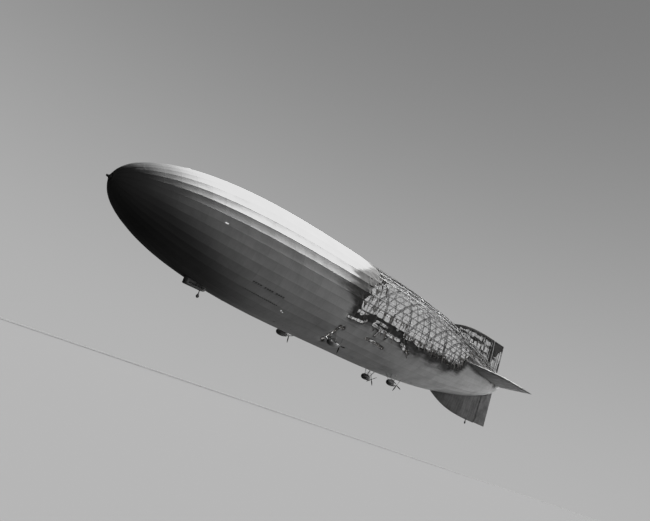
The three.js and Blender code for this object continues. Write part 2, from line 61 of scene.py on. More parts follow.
def to_model(points):
    """Ship space to the frame: the distance aft becomes a distance back from the origin, all at scale."""
    return (np.asarray(points, float) * [-1, 1, 1] + [BUOYANCY, 0, 0]) * M


def to_ship(points):
    """The frame's metres to ship space."""
    return (points / M - [BUOYANCY, 0, 0]) * [-1, 1, 1]


def node_points(name):
    """Corners of a frame node in ship space."""
    mesh = frame["nodes"][name].data
    flat = np.empty(len(mesh.vertices) * 3)
    mesh.vertices.foreach_get("co", flat)
    return to_ship(flat.reshape(-1, 3))


def joint_place(name):
    """A joint's point in ship space."""
    return to_ship(next(np.array(joint["pos_m"]) for joint in frame["joints"] if joint["name"] == name))


def xyz(a, b, c):
    """Points from three coordinates, each a number or an array."""
    return np.stack(np.broadcast_arrays(a, b, c), -1).astype(float)


def round_axis(s, radius, turn):
    """Point s metres aft, at a radius, turn degrees from the keel and positive to port."""
    angle = np.radians(turn)
    return xyz(s, radius * np.sin(angle), -radius * np.cos(angle))


def unit(v):
    """Each vector at a length of 1."""
    return v / np.maximum(np.linalg.norm(v, axis=-1, keepdims=True), 1e-9)


def radial(points):
    """Unit vectors away from the ship's axis."""
    return unit(points * [0, 1, 1])


# Curves and noise

def smooth(table, column, at):
    """Cubic curve through a column of a table over its first one: each slope is the mean of the chords
    beside it, the shorter one weighing more."""
    places, values = table[:, 0], table[:, column]
    gap = np.diff(places)
    chord = np.diff(values) / gap
    middle = (chord[:-1] * gap[1:] + chord[1:] * gap[:-1]) / (gap[:-1] + gap[1:])
    slope = np.concatenate([chord[:1], middle, chord[-1:]])
    i = np.clip(np.searchsorted(places, at) - 1, 0, len(gap) - 1)
    t = (at - places[i]) / gap[i]
    rise = t * t * (3 - 2 * t)
    leave = t * (1 - t) ** 2 * gap[i] * slope[i]
    arrive = t * t * (t - 1) * gap[i] * slope[i + 1]
    return values[i] * (1 - rise) + values[i + 1] * rise + leave + arrive


def ease(value, low, high):
    """0 below low, 1 above high and a smoothstep between them."""
    t = np.clip((value - low) / (high - low), 0, 1)
    return t * t * (3 - 2 * t)


def value_noise(u, v, seed):
    """Noise from -1 to 1: random numbers on a unit lattice, blended by a smoothstep in both directions."""
    table = np.random.default_rng(seed).uniform(-1, 1, (256, 256))
    i, j = np.floor(u).astype(int), np.floor(v).astype(int)
    a, b = ease(u - i, 0, 1), ease(v - j, 0, 1)
    near, far = (table[i % 256, k % 256] * (1 - a) + table[(i + 1) % 256, k % 256] * a for k in (j, j + 1))
    return near * (1 - b) + far * b


def two_noises(u, v, seed, coarse, fine):
    """Sum of two value noises, each (steps in a metre, height), on a seed and the one after it."""
    (a, high), (b, low) = coarse, fine
    return value_noise(u * a, v * a, seed) * high + value_noise(u * b, v * b, seed + 1) * low


# Meshes

class Shape:
    """Points and faces in ship space, gathered from several closed surfaces and built as one mesh."""

    def __init__(self):
        self.points, self.faces, self.materials, self.uvs, self.values = [], [], [], [], []
        self.count = 0

    def add(self, points, *faces, material=0, uvs=None, values=0.0):
        """One closed surface, or many alike: its faces are turned round if it encloses a negative volume."""
        placed = to_model(points).reshape(-1, 3)
        volume = 0.0
        for block in faces:
            for k in range(1, block.shape[1] - 1):
                a, b, c = placed[block[:, [0, k, k + 1]].T]
                volume += np.einsum("ij,ij->", a, np.cross(b, c))
        way = slice(None, None, -1 if volume < 0 else 1)
        for n, block in enumerate(faces):
            uv = np.zeros(block.shape + (2,)) if uvs is None else uvs[n]
            self.faces.append(block[:, way] + self.count)
            self.uvs.append(uv[:, way])
            self.materials.append(np.full(len(block), np.broadcast_to(material, len(faces))[n]))
        self.points.append(placed)
        self.values.append(np.broadcast_to(values, len(placed)))
        self.count += len(placed)

    def build(self, name, body, slot, materials, replaces=(), sharp=30.0, flat=False, with_uvs=False):
        """The gathered surfaces as one object at the origin, riding on a body of the frame."""
        mesh = bpy.data.meshes.new(name)

        def put(items, field, parts, kind=np.float32):
            items.foreach_set(field, np.concatenate([np.ravel(part) for part in parts]).astype(kind))

        totals = np.concatenate([np.full(len(block), block.shape[1]) for block in self.faces])
        mesh.vertices.add(self.count)
        mesh.loops.add(int(totals.sum()))
        mesh.polygons.add(len(totals))
        put(mesh.vertices, "co", self.points)
        put(mesh.loops, "vertex_index", self.faces, np.int32)
        put(mesh.polygons, "loop_start", [np.cumsum(totals) - totals], np.int32)
        put(mesh.polygons, "material_index", self.materials, np.int32)
        if with_uvs:
            put(mesh.uv_layers.new(name="panels").data, "uv", self.uvs)
            put(mesh.attributes.new("burn", "FLOAT", "POINT").data, "value", self.values)
        mesh.update(calc_edges=True)
        mesh.validate()
        if flat:
            mesh.shade_flat()
        else:
            mesh.shade_smooth()
            mesh.set_sharp_from_angle(angle=math.radians(sharp))
        for material in materials:
            mesh.materials.append(material)
        piece = bpy.data.objects.new(name, mesh)
        bpy.context.scene.collection.objects.link(piece)
        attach(piece, body)
        if replaces:
            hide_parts(*replaces)


def grid_faces(rows, columns, wrap_rows=False, wrap_columns=False):
    """Quads of a grid of points, numbered row by row."""
    i = np.arange(rows if wrap_rows else rows - 1)[:, None] * columns
    j = np.arange(columns if wrap_columns else columns - 1)
    k = (i + columns) % (rows * columns)
    l = (j + 1) % columns
    return np.stack([i + j, k + j, k + l, i + l], -1).reshape(-1, 4)


def split(quads):
    """Each quad as two triangles."""
    return np.concatenate([quads[:, [0, 1, 2]], quads[:, [0, 2, 3]]])


def ring_cap(row, columns, reverse=False):
    """One face that closes a row of a grid."""
    cap = np.arange(columns)[None, :] + row * columns
    return cap[:, ::-1] if reverse else cap


def loft(shape, points, material=0, ring=False, uv=None, burn=CLEAN):
    """Closed surface through rows of points: each row is a closed section, and the ends are closed flat,
    or joined in a ring. The grid of uv has one column more than the points, so that it goes right round."""
    rows, columns = points.shape[:2]
    faces = [grid_faces(rows, columns, ring, True)]
    if not ring:
        faces += [ring_cap(0, columns, True), ring_cap(rows - 1, columns)]
    uvs = None
    if uv is not None:
        uvs = [uv.reshape(-1, 2)[grid_faces(rows, columns + 1)], uv[:1, :-1], uv[-1:, :-1]]
    shape.add(points, *faces, material=material, uvs=uvs, values=burn)


TRIANGLE = np.array([[-0.5, -0.29], [0.5, -0.29], [0, 0.58]])
SQUARE = np.array([[-0.5, -0.5], [0.5, -0.5], [0.5, 0.5], [-0.5, 0.5]])
EIGHTHS = np.arange(8) * math.pi / 4
OCTAGON = np.stack([np.cos(EIGHTHS), np.sin(EIGHTHS)], 1) * 0.5
FORE, ACROSS, UP = np.eye(3)


def bars(shape, start, end, width, depth=None, up=None, section=SQUARE, material=0):
    """Straight bars from each start to its end: the section swept along, its second axis turned to up."""
    ends = np.broadcast_arrays(np.asarray(start, float), np.asarray(end, float))
    start, end = (part.reshape(-1, 3) for part in ends)
    along = unit(end - start)
    side = unit(np.cross(along, radial((start + end) / 2) if up is None else up))
    up = np.cross(side, along)
    offset = side[:, None] * section[:, :1] * width + up[:, None] * section[:, 1:] * (depth or width)
    n, k = len(start), len(section)
    base = (np.arange(n) * 2 * k)[:, None, None]
    faces = [grid_faces(2, k, wrap_columns=True), ring_cap(0, k, True), ring_cap(1, k)]
    faces = [(block + base).reshape(-1, block.shape[1]) for block in faces]
    shape.add(np.stack([start[:, None] + offset, end[:, None] + offset], 1), *faces, material=material)


def polyline(shape, points, width, depth=None, **how):
    """Bars joining points in order."""
    bars(shape, points[:-1], points[1:], width, depth, **how)


def hoop(shape, points, width, depth=None, **how):
    """Bars joining points in order, and the last to the first."""
    bars(shape, points, np.roll(points, -1, 0), width, depth, **how)


def alternate(a, b):
    """Points of two rows in turn, for a zigzag between them."""
    return np.where(np.arange(len(a))[:, None] % 2 == 0, a, b)


def laced(shape, rails, stations, pitch, width, lacing, up=None):
    """Girder of three rails that are functions of the distance aft, laced in zigzags on all three sides."""
    for rail in rails:
        polyline(shape, rail(stations), width, up=up)
    count = int((stations[-1] - stations[0]) / pitch) // 2 * 2
    steps = np.linspace(stations[0], stations[-1], count + 1)
    for a, b in ((0, 1), (1, 2), (2, 0)):
        polyline(shape, alternate(rails[a](steps), rails[b](steps)), lacing, up=up, section=TRIANGLE)


def lathe(shape, profile, sides, place=np.asarray, material=0, closed=True):
    """Surface of a profile of (along, radius) turned round its axis: place maps (along, side, up) to ship
    space, and without it the axis is the ship's."""
    turn = np.arange(sides) * 2 * math.pi / sides
    along, radius = np.asarray(profile, float).T[..., None]
    loft(shape, place(xyz(along, radius * np.cos(turn), radius * np.sin(turn))), material, ring=closed)


# Hull

# Hull radius at the nose and tail ends, metres aft and radius at the corners of the section.
NOSE = [(0.3, 1.5), (1.5, 3.7), (3.6, 6.2)]
TAIL = [(242.8, 2.6), (244.1, 1.0)]
# Covers: first and last ring, rows in a bay, whether they are burnt in places.
COVERS = {
    "cover_bow": (0, 9, 8, False), "cover_forward": (9, 18, 8, True), "cover_middle": (18, 27, 10, True),
    "cover_aft": (27, 36, 10, True), "cover_stern": (36, 48, 9, True),
}
# Main rings, metres aft. Two lighter rings stand between each two of them.
MAIN_RINGS = np.array([
    6.8, 22.3, 37.3, 52.3, 67.3, 83.8, 100.3, 116.8, 133.3, 148.3, 163.3, 178.3, 193.3, 206.8, 220.3, 232.0,
    240.3,
])
BAYS = 3
NUMBERS = np.arange(len(MAIN_RINGS)) * BAYS
DISH = 0.08


def keel_corner():
    """Hull radius at the section's corners, read where the frame's covers have their keel corner."""
    points = np.concatenate([node_points(name) for name in COVERS])
    low = points[(np.abs(points[:, 1]) < 0.01) & (points[:, 2] < 0)]
    places = np.unique(np.round(low[:, 0], 1))
    radii = [-low[np.abs(low[:, 0] - s) < 0.06, 2].min() for s in places]
    return np.array(NOSE + list(zip(places, radii)) + TAIL)


PROFILE = keel_corner()


def hull_radius(s):
    """Radius at the corners of the hull's section."""
    return smooth(PROFILE, 1, s)


def bay_number(s):
    """Rings counted from the bow cap's end, with fractions between them."""
    return np.interp(s, MAIN_RINGS, NUMBERS)


def ring_place(number):
    """Metres aft of a ring by its number, the other way round from bay_number."""
    return np.interp(number, NUMBERS, MAIN_RINGS)


def from_middle(place):
    """Place between two whole numbers, from -0.5 to 0.5."""
    return place - np.floor(place) - 0.5


def hull_point(s, turn, inset=0.0):
    """Skin of the hull: the radius of a flat facet, less a dish that is a parabola between two longitudinals
    and a shallower one between two rings."""
    across = from_middle(turn / FACET)
    along = from_middle(bay_number(s))
    flat = MID_FACET / np.cos(np.radians(FACET * across))
    drawn = DISH * (1 - 4 * across ** 2) * (0.8 + 0.2 * (1 - 4 * along ** 2)) * ease(s, 4, 30)
    return round_axis(s, hull_radius(s) * flat - drawn - inset, turn)


def on_hull(s, turn, out=0.0):
    """Point on a corner radius of the hull, out metres beyond it."""
    return round_axis(s, hull_radius(np.asarray(s, float)) + out, turn)


# Ragged edge of the burnt opening on each side: metres aft, height above the axis. A height of TOP stands for
# the far side of the hull's top.
TOP = 22
BURNT_END = 231
BURNT_PORT = [
    (110, TOP), (113.5, 17), (113.4, 15), (110.6, 12.8), (111.7, 10.4), (106.3, 8), (104.9, 6.5), (106, 4.4),
    (104.1, 2.4), (101.4, 0), (101.8, -3), (101.2, -5.2), (103.8, -5.6), (106, -4.8), (109, -3.4),
    (112.8, -2.8), (117, -3.5), (121, -3), (125.6, -4.4), (130, -4.2), (133.8, -5.6), (138.7, -5.2),
    (144, -6.4), (150, -5),
    (156, -6.6), (163, -5.4), (170, -6.8), (176, -4.6), (181, -4.6), (184, 1.5), (189, 3.6), (197, 4.4),
    (205, 3.6), (213, 4.6), (221, 3.2), (229, 3.8), (231.3, 2.6), (231.5, TOP),
]
BURNT_STARBOARD = [
    (110, TOP), (111.6, 17), (108.4, 14), (109.8, 11.5), (105.5, 9.5), (104.2, 5.5), (108, 3.5), (111, 0.2),
    (119, 1.2), (126, -1.8), (134, -0.6), (141, -3.4), (149, -2), (157, -4.8), (166, -3.2), (174, -5.2),
    (180, -2.8), (185, 2.8), (193, 3.4), (203, 4.8), (212, 3.4), (222, 4.4), (229, 3.4), (231.3, 2.8),
    (231.5, TOP),
]
# Slits burnt through the port flank: metres aft and degrees from the keel at both ends, width.
SLITS = [
    (98.5, 66.3, 107, 68.3, 0.55), (106.6, 68.4, 108.2, 71.6, 0.45), (112.2, 71.5, 121, 69.4, 0.8),
    (121, 69.4, 130.9, 68.9, 0.7), (113.4, 76.2, 120.5, 75.8, 0.5), (116.6, 60.7, 117.5, 70.5, 0.4),
    (113.7, 53.3, 119.5, 53.6, 0.5), (119.5, 53.6, 125.6, 51.3, 0.45), (133.2, 66.1, 137.0, 63.0, 0.9),
    (137.0, 63.0, 140.6, 59.3, 0.6), (98.2, 26, 98.2, 52.3, 0.5), (98.2, 52.3, 100.6, 52.0, 0.45),
    (98.2, 26, 99.9, 21.5, 0.4), (122.6, 62.5, 122.9, 66.0, 0.35),
]


def line_distance(s, girth, x0, y0, x1, y1):
    """Distance from each place of the flat pattern to a straight line between two others."""
    length2 = np.maximum((x1 - x0) ** 2 + (y1 - y0) ** 2, 1e-9)
    t = np.clip(((s - x0) * (x1 - x0) + (girth - y0) * (y1 - y0)) / length2, 0, 1)
    return np.hypot(s - x0 - t * (x1 - x0), girth - y0 - t * (y1 - y0))


def edge_distance(s, girth, table):
    """Distance from each point to an outline that is closed over the top of the hull, negative inside it:
    its heights become girths from the keel."""
    aft, forward = table[-1][0], table[0][0]
    over = [(place, TOP) for place in np.linspace(aft, forward, 40)[1:-1]]
    a, height = np.array(table + over, float).T
    radius = hull_radius(a)
    b = radius * np.where(height > radius, math.radians(205), np.arccos(np.clip(-height / radius, -1, 1)))
    nearest = np.full(s.shape, np.inf)
    inside = np.zeros(s.shape, bool)
    for x0, y0, x1, y1 in zip(a, b, np.roll(a, -1), np.roll(b, -1)):
        nearest = np.minimum(nearest, line_distance(s, girth, x0, y0, x1, y1))
        if y0 != y1:
            inside ^= ((y0 > girth) != (y1 > girth)) & (s < x0 + (girth - y0) * (x1 - x0) / (y1 - y0))
    return np.where(inside, -nearest, nearest)


def slit_distance(s, girth, radius):
    """Distance to the nearest slit: that of its middle line less nine tenths of its width."""
    nearest = np.full(s.shape, NOWHERE)
    for s0, turn0, s1, turn1, width in SLITS:
        y0, y1 = math.radians(turn0) * radius, math.radians(turn1) * radius
        nearest = np.minimum(nearest, line_distance(s, girth, s0, y0, s1, y1) - width * 0.9)
    return nearest


def cover_left(s, turn):
    """Metres from each place of the cover to where it burnt away, below 0 where it is gone, ragged by noise,
    and the distance that its scorching follows, which grows faster on the flank, so that less soot and
    painted smoke shadow lie there."""
    radius = hull_radius(s)
    signed_girth = np.radians(turn) * radius
    girth = np.abs(signed_girth)
    left = np.where(turn > 0, edge_distance(s, girth, BURNT_PORT), edge_distance(s, girth, BURNT_STARBOARD))
    slits = np.where(turn > 0, slit_distance(s, girth, radius), NOWHERE)
    torn = two_noises(s, signed_girth, 3, (0.45, 0.55), (1.3, 0.3))
    clinging = ease(np.abs(from_middle(turn / FACET)) * 2, 0.6, 1.0) * 0.8
    ragged = np.where((left < 6) & (s < BURNT_END), left + torn + clinging * ease(left, -3.0, 0.5), left)
    slit_torn = slits + value_noise(s * 1.1, signed_girth * 1.1, 8) * 0.22
    pepper = value_noise(s * 0.9, signed_girth * 0.9, 11) + 0.86 + ease(left, 2, 10) * 4.0
    level = np.minimum(np.minimum(ragged, slit_torn), np.where(left > 0.6, pepper * 1.2, 9))
    height = on_hull(s, turn)[..., 2]
    shelter = 1 + 2.2 * ease(-height, -1.0, 5.0) + 0.8 * ease(height, 11.0, 15.0)
    return level, np.clip(np.minimum(left * shelter, 3.0 + slits * 30), 0, CLEAN)


def whole_cover(s, _):
    """As cover_left, where nothing burnt."""
    return np.full(s.shape, CLEAN), np.full(s.shape, CLEAN)


def trimmed(params, triangles):
    """Cuts triangles along the zero line of the last column and keeps the positive side, in straight cuts."""
    level = params[:, -1]
    inside = level[triangles] > 0
    count = inside.sum(1)
    cut = np.where((count == 1) | (count == 2))[0]
    one = count[cut] == 1
    lone = np.where(one, inside[cut].argmax(1), inside[cut].argmin(1))
    rolled = np.take_along_axis(triangles[cut], (lone[:, None] + np.arange(3)) % 3, 1)
    pairs = np.concatenate([rolled[:, [0, 1]], rolled[:, [0, 2]]])
    ends, place = np.unique(np.sort(pairs, 1), axis=0, return_inverse=True)
    f0, f1 = level[ends[:, 0]], level[ends[:, 1]]
    t = (f0 / (f0 - f1))[:, None]
    fresh = params[ends[:, 0]] * (1 - t) + params[ends[:, 1]] * t
    fresh[:, -1] = 0
    first, second = place.reshape(2, -1) + len(params)
    odd, after, before = rolled.T
    kept = [
        triangles[count == 3], np.stack([odd, first, second], 1)[one],
        np.stack([first, after, before], 1)[~one], np.stack([first, before, second], 1)[~one],
    ]
    return np.concatenate([params, fresh]), np.concatenate(kept)


def thick_skin(shape, outer, inner, triangles, uv_corners, burn, inside):
    """Closed shell of a triangle skin: its outer wall, and in the material inside its inner one and a rim
    along each free edge."""
    n = len(outer)
    sides = ([0, 1], [1, 2], [2, 0])
    edges = np.concatenate([triangles[:, side] for side in sides])
    uv_edges = np.concatenate([uv_corners[:, side] for side in sides])
    a, b = edges.T.astype(np.int64)
    free = ~np.isin(a * n + b, b * n + a)
    a, b = a[free], b[free]
    rim = np.stack([b, a, a + n, b + n], 1)
    shape.add(
        np.concatenate([outer, inner]), triangles, triangles[:, ::-1] + n, rim, material=(0, inside, inside),
        uvs=[uv_corners, uv_corners[:, ::-1], uv_edges[free][:, [1, 0, 0, 1]]], values=np.tile(burn, 2),
    )


def skin_mesh(shape, surface, level_of, u, v, uv=None, joined=False, thick=COVER, curl=0.3, inside=1):
    """Ragged skin on a grid of (u, v): trimmed where its level falls below 0, its torn edges curled by a roll
    that fades within a metre of them. joined makes the columns at -180 and 180 degrees one."""
    grid_u, grid_v = np.meshgrid(u, v, indexing="ij")
    level, burn = level_of(grid_u, grid_v)
    params = np.stack([grid_u.ravel(), grid_v.ravel(), burn.ravel(), level.ravel()], 1)
    triangles = split(grid_faces(len(u), len(v)))
    if level.min() <= 0:
        params, triangles = trimmed(params, triangles)
    uv_corners = (params[:, :2] if uv is None else uv(params[:, 0], params[:, 1]))[triangles]
    keys = np.round(params[:, :2], 6)
    if joined:
        keys[:, 1] = np.mod(keys[:, 1], 360)
    keys, first, place = np.unique(keys, axis=0, return_index=True, return_inverse=True)
    used, triangles = np.unique(place.reshape(-1)[triangles], return_inverse=True)
    triangles = triangles.reshape(-1, 3)
    whole = (triangles != np.roll(triangles, 1, 1)).all(1)
    u, v, burn, level = params[first][used].T
    roll = curl * np.exp(-np.maximum(level, 0) / 0.9) * (value_noise(u * 0.8, v * 0.33, 21) - 0.35)
    outer, inner = surface(u, v, -roll), surface(u, v, thick - roll)
    thick_skin(shape, outer, inner, triangles[whole], uv_corners[whole], burn, inside)


# Materials

def new_material(name):
    """A material's node tree, with its Principled shader and output."""
    material = bpy.data.materials.new(name)
    material.use_nodes = True
    tree = material.node_tree
    tree.nodes.clear()
    shader = tree.nodes.new("ShaderNodeBsdfPrincipled")
    output = tree.nodes.new("ShaderNodeOutputMaterial")
    tree.links.new(shader.outputs[0], output.inputs[0])
    return material, tree, shader


def new_group(name, inputs, outputs):
    """A shader group: inputs are (name, kind, default), outputs are names of numbers."""
    group = bpy.data.node_groups.new(name, "ShaderNodeTree")
    for label, kind, default in inputs:
        socket = group.interface.new_socket(label, in_out="INPUT", socket_type="NodeSocket" + kind)
        if default is not None:
            socket.default_value = default
    for label in outputs:
        group.interface.new_socket(label, in_out="OUTPUT", socket_type="NodeSocketFloat")
    return group, group.nodes.new("NodeGroupInput").outputs, group.nodes.new("NodeGroupOutput").inputs


def feed(tree, socket, value):
    """Sets a socket to a number or colour, or joins an output to it."""
    if isinstance(value, bpy.types.NodeSocket):
        tree.links.new(value, socket)
    elif value is not None:
        socket.default_value = value


def node(tree, kind, inputs, output=0, **settings):
    """Adds a node with its settings, feeds its inputs by name or number, gives one of its outputs or all."""
    fresh = tree.nodes.new("ShaderNode" + kind)
    for name, value in settings.items():
        setattr(fresh, name, value)
    for label, value in inputs.items():
        feed(tree, fresh.inputs[label], value)
    return fresh.outputs if output is None else fresh.outputs[output]


def math_node(tree, operation, a, b=None, clamp=False):
    """One step of arithmetic on numbers or outputs, held between 0 and 1 if clamp is set."""
    return node(tree, "Math", {0: a, 1: b}, operation=operation, use_clamp=clamp)


def times(tree, a, b):
    """Product of two numbers or outputs."""
    return math_node(tree, "MULTIPLY", a, b)


def plus(tree, a, b):
    """Sum of two numbers or outputs."""
    return math_node(tree, "ADD", a, b)


def minus(tree, a, b, clamp=False):
    """A number or output less another, held between 0 and 1 if clamp is set."""
    return math_node(tree, "SUBTRACT", a, b, clamp)


def layered(tree, base, *layers):
    """Colours laid over a base in order: each layer is (mask, share of it, colour)."""
    for mask, share, colour in layers:
        factor = mask if share == 1 else times(tree, mask, share)
        base = node(tree, "Mix", {"Factor": factor, "A": base, "B": colour}, "Result", data_type="RGBA")
    return base


def mapped(tree, value, low, high, to_low=0.0, to_high=1.0):
    """A value carried from one range to another by a smoothstep, held at the ends."""
    inputs = dict(enumerate((value, low, high, to_low, to_high)))
    return node(tree, "MapRange", inputs, interpolation_type="SMOOTHSTEP")


def noise(tree, vector, scale, detail, roughness, stretch=None):
    """Noise of a scale, detail and roughness, on a vector that is stretched if a scale for it is given."""
    if stretch:
        vector = node(tree, "Mapping", {"Vector": vector, "Scale": stretch})
    inputs = {"Vector": vector, "Scale": scale, "Detail": detail, "Roughness": roughness}
    return node(tree, "TexNoise", inputs, "Fac")


def object_coords(tree):
    """A piece's own coordinates, which are the frame's, as each piece sits at the origin."""
    return node(tree, "TexCoord", {}, "Object")


def use_group(tree, group, **values):
    """Places a group with values for its inputs, and gives all its outputs."""
    return node(tree, "Group", values, None, node_tree=group)


def shade(tree, shader, colour, roughness, relief=None, **others):
    """Feeds a shader. relief is its bump's (height, strength, distance), others its inputs, _ for a space."""
    looks = {"Base Color": colour, "Roughness": roughness}
    if relief:
        looks["Normal"] = node(tree, "Bump", dict(zip(("Height", "Strength", "Distance"), relief)))
    looks.update({label.replace("_", " "): value for label, value in others.items()})
    for label, value in looks.items():
        feed(tree, shader.inputs[label], value)


def grey(value, warmth=0.0):
    """A near-neutral colour: warmth lifts red and lowers blue by that share."""
    return (value * (1 + warmth), value, value * (1 - warmth), 1.0)


def make_panel_group():
    """Fabric panels on the skin's own map, whole numbers at rings and longitudinals: lines there, and a tone
    for each panel."""
    group, given, out = new_group(
        "fabric_panels", [("Vector", "Vector", None), ("Line", "Float", 0.04)], ["Seam", "Ridge", "Tone"],
    )
    parts = node(group, "SeparateXYZ", {0: given["Vector"]}, None)
    for axis, width, label in ((0, 0.75, "Seam"), (1, 1.0, "Ridge")):
        place = math_node(group, "FRACT", plus(group, parts[axis], 0.5))
        away = math_node(group, "ABSOLUTE", minus(group, place, 0.5))
        half = times(group, given["Line"], width)
        feed(group, out[label], minus(group, 1.0, math_node(group, "DIVIDE", away, half), clamp=True))
    floor = node(group, "VectorMath", {0: given["Vector"]}, operation="FLOOR")
    random = node(group, "TexWhiteNoise", {"Vector": floor}, "Value", noise_dimensions="2D")
    feed(group, out["Tone"], random)
    return group


def make_weather_group():
    """Blotches and rain streaks: broad noise, and noise drawn out downwards and aft."""
    group, given, out = new_group(
        "weather", [("Vector", "Vector", None), ("Size", "Float", 1.0)], ["Blotch", "Streak"],
    )
    scaled = node(group, "VectorMath", {0: given["Vector"], "Scale": given["Size"]}, operation="SCALE")
    broad = noise(group, scaled, 1.6, 7.0, 0.62)
    drawn = noise(group, scaled, 2.2, 5.0, 0.6, (5.0, 1.4, 1.0))
    feed(group, out["Blotch"], mapped(group, broad, 0.32, 0.72))
    feed(group, out["Streak"], mapped(group, drawn, 0.38, 0.74))
    return group


def make_char_group():
    """Scorching near a burnt edge: burn is the distance to it in metres, broken up by noise.
    The first output is soot and painted smoke shadow, wide and soft and drawn out in streaks along the hull,
    and Char the burnt margin."""
    group, given, out = new_group(
        "charring", [("Burn", "Float", CLEAN), ("Vector", "Vector", None)], ["SootAndShadow", "Char"],
    )
    # Streaks drawn out along the hull: painted smoke shadow, laid in with the soot.
    drawn = noise(group, given["Vector"], 2.1, 6.0, 0.62, (0.45, 2.4, 2.4))
    rough = noise(group, given["Vector"], 1.7, 8.0, 0.68)
    rows = (("SootAndShadow", drawn, 20.0, 5.0, 21.0), ("Char", rough, 9.0, -1.6, 1.3))
    for label, pattern, spread, low, high in rows:
        reach = plus(group, given["Burn"], times(group, minus(group, pattern, 0.5), spread))
        feed(group, out[label], mapped(group, reach, low, high, 1.0, 0.0))
    return group


PANELS = make_panel_group()
WEATHER = make_weather_group()
CHARRING = make_char_group()
CHARRED = grey(0.012, 0.1)


def panels(tree, line):
    """Seams, ridges and tones on a skin's own map, with lines of a width."""
    return use_group(tree, PANELS, Vector=node(tree, "UVMap", {}, uv_map="panels"), Line=line)


def scorching(tree, place):
    """Darkening of soot and painted smoke shadow, and char, by a skin's own distance from the burnt edge."""
    burn = node(tree, "Attribute", {}, "Fac", attribute_name="burn")
    return use_group(tree, CHARRING, Burn=burn, Vector=place)


def doped_cover():
    """Aluminium-doped fabric: silver grey, a tone for each panel, grime, seams, painted shade towards
    the bow and under it, and near the burnt edge soot with painted smoke shadow."""
    material, tree, shader = new_material("doped_cover")
    place = object_coords(tree)
    panel = panels(tree, 0.035)
    weather = use_group(tree, WEATHER, Vector=place, Size=1.0)
    scorch = scorching(tree, place)
    along = node(tree, "SeparateXYZ", {0: place}, None)
    # Painted shade: darker towards the bow, from 4 to 34 m aft, reaching further aft under the hull.
    bow_shade_reach = minus(tree, along["X"], times(tree, math_node(tree, "MINIMUM", along["Z"], 0.0), 2.0))
    bow = mapped(tree, bow_shade_reach, (BUOYANCY - 34) * M, (BUOYANCY - 4) * M)
    # Near the burnt edge the cover turns near black: soot, with painted smoke shadow in streaks.
    base = layered(
        tree, grey(0.44), (panel["Tone"], 1, grey(0.50)), (weather["Blotch"], 0.5, grey(0.33)),
        (weather["Streak"], 0.3, grey(0.56)), (panel["Seam"], 0.3, grey(0.26)),
        (panel["Ridge"], 0.4, grey(0.22)), (bow, 1, grey(0.095)), (scorch["SootAndShadow"], 0.9, grey(0.03, 0.05)),
        (scorch["Char"], 1, CHARRED),
    )
    clean = minus(tree, 1.0, math_node(tree, "MAXIMUM", scorch["SootAndShadow"], scorch["Char"]), clamp=True)
    rough = plus(tree, 0.58, times(tree, weather["Blotch"], 0.14))
    puckers = noise(tree, place, 2.4, 5.0, 0.6, (2.0, 6.0, 6.0))
    height = plus(tree, puckers, times(tree, panel["Ridge"], 0.6))
    height = plus(tree, height, times(tree, panel["Seam"], 0.5))
    rough = math_node(tree, "MAXIMUM", rough, scorch["SootAndShadow"])
    shade(tree, shader, base, rough, (height, 0.25, 0.01), Metallic=times(tree, clean, 0.15))
    return material


def weathered(name, size, first, layers, rough, relief, line=None, burnt=False, **others):
    """A finish under blotches and streaks of a size. layers are over the first colour, each (mask, share of
    it, colour), with the name of a group's output as its mask. rough is a number, or a roughness and what
    blotches add to it. relief is (noise, share of the seams in it, strength, distance)."""
    material, tree, shader = new_material(name)
    place = object_coords(tree)
    masks = dict(use_group(tree, WEATHER, Vector=place, Size=size).items())
    if line:
        masks.update(panels(tree, line).items())
    if burnt:
        masks.update(scorching(tree, place).items())
    base = layered(tree, first, *((masks[mask], share, colour) for mask, share, colour in layers))
    if isinstance(rough, tuple):
        rough = plus(tree, rough[0], times(tree, masks["Blotch"], rough[1]))
    wave, seams, strength, distance = relief
    height = noise(tree, place, *wave)
    if seams:
        height = plus(tree, height, times(tree, masks["Seam"], seams))
    shade(tree, shader, base, rough, (height, strength, distance), **others)
    return material


def sooted_metal(name, light, dark, metallic, roughness, size=1.0):
    """Bare light metal: dulled in blotches, sooty in streaks, rougher where it is dull."""
    layers = [("Blotch", 1, grey(dark)), ("Streak", 0.5, grey(dark * 0.6))]
    grain = ((90.0, 3.0, 0.6), 0, 0.15, 0.002)
    return weathered(name, size, grey(light), layers, (roughness, 0.2), grain, Metallic=metallic)


def patterned(name, first, layers, rough, relief=None, **others):
    """A finish made of noises, each (scale, detail, roughness) and a stretch if it has one. layers are over
    the first colour, each (noise, low, high, colour), fading in as its noise passes from low to high. rough
    is a number or (noise, low, high, at low, at high), relief (noise, strength, distance)."""
    material, tree, shader = new_material(name)
    place = object_coords(tree)
    base = first
    for wave, low, high, colour in layers:
        base = layered(tree, base, (mapped(tree, noise(tree, place, *wave), low, high), 1, colour))
    if isinstance(rough, tuple):
        rough = mapped(tree, noise(tree, place, *rough[0]), *rough[1:])
    if relief:
        relief = (noise(tree, place, *relief[0]), *relief[1:])
    shade(tree, shader, base, rough, relief, **others)
    return material


def glass(name, tint, transmission):
    """Window glass with a film of grime that dulls it in patches."""
    film = (12.0, 6.0, 0.65)
    return patterned(
        name, grey(tint), [(film, 0.4, 0.8, grey(tint * 0.7))], (film, 0.35, 0.8, 0.05, 0.3),
        Transmission_Weight=transmission, IOR=1.5,
    )


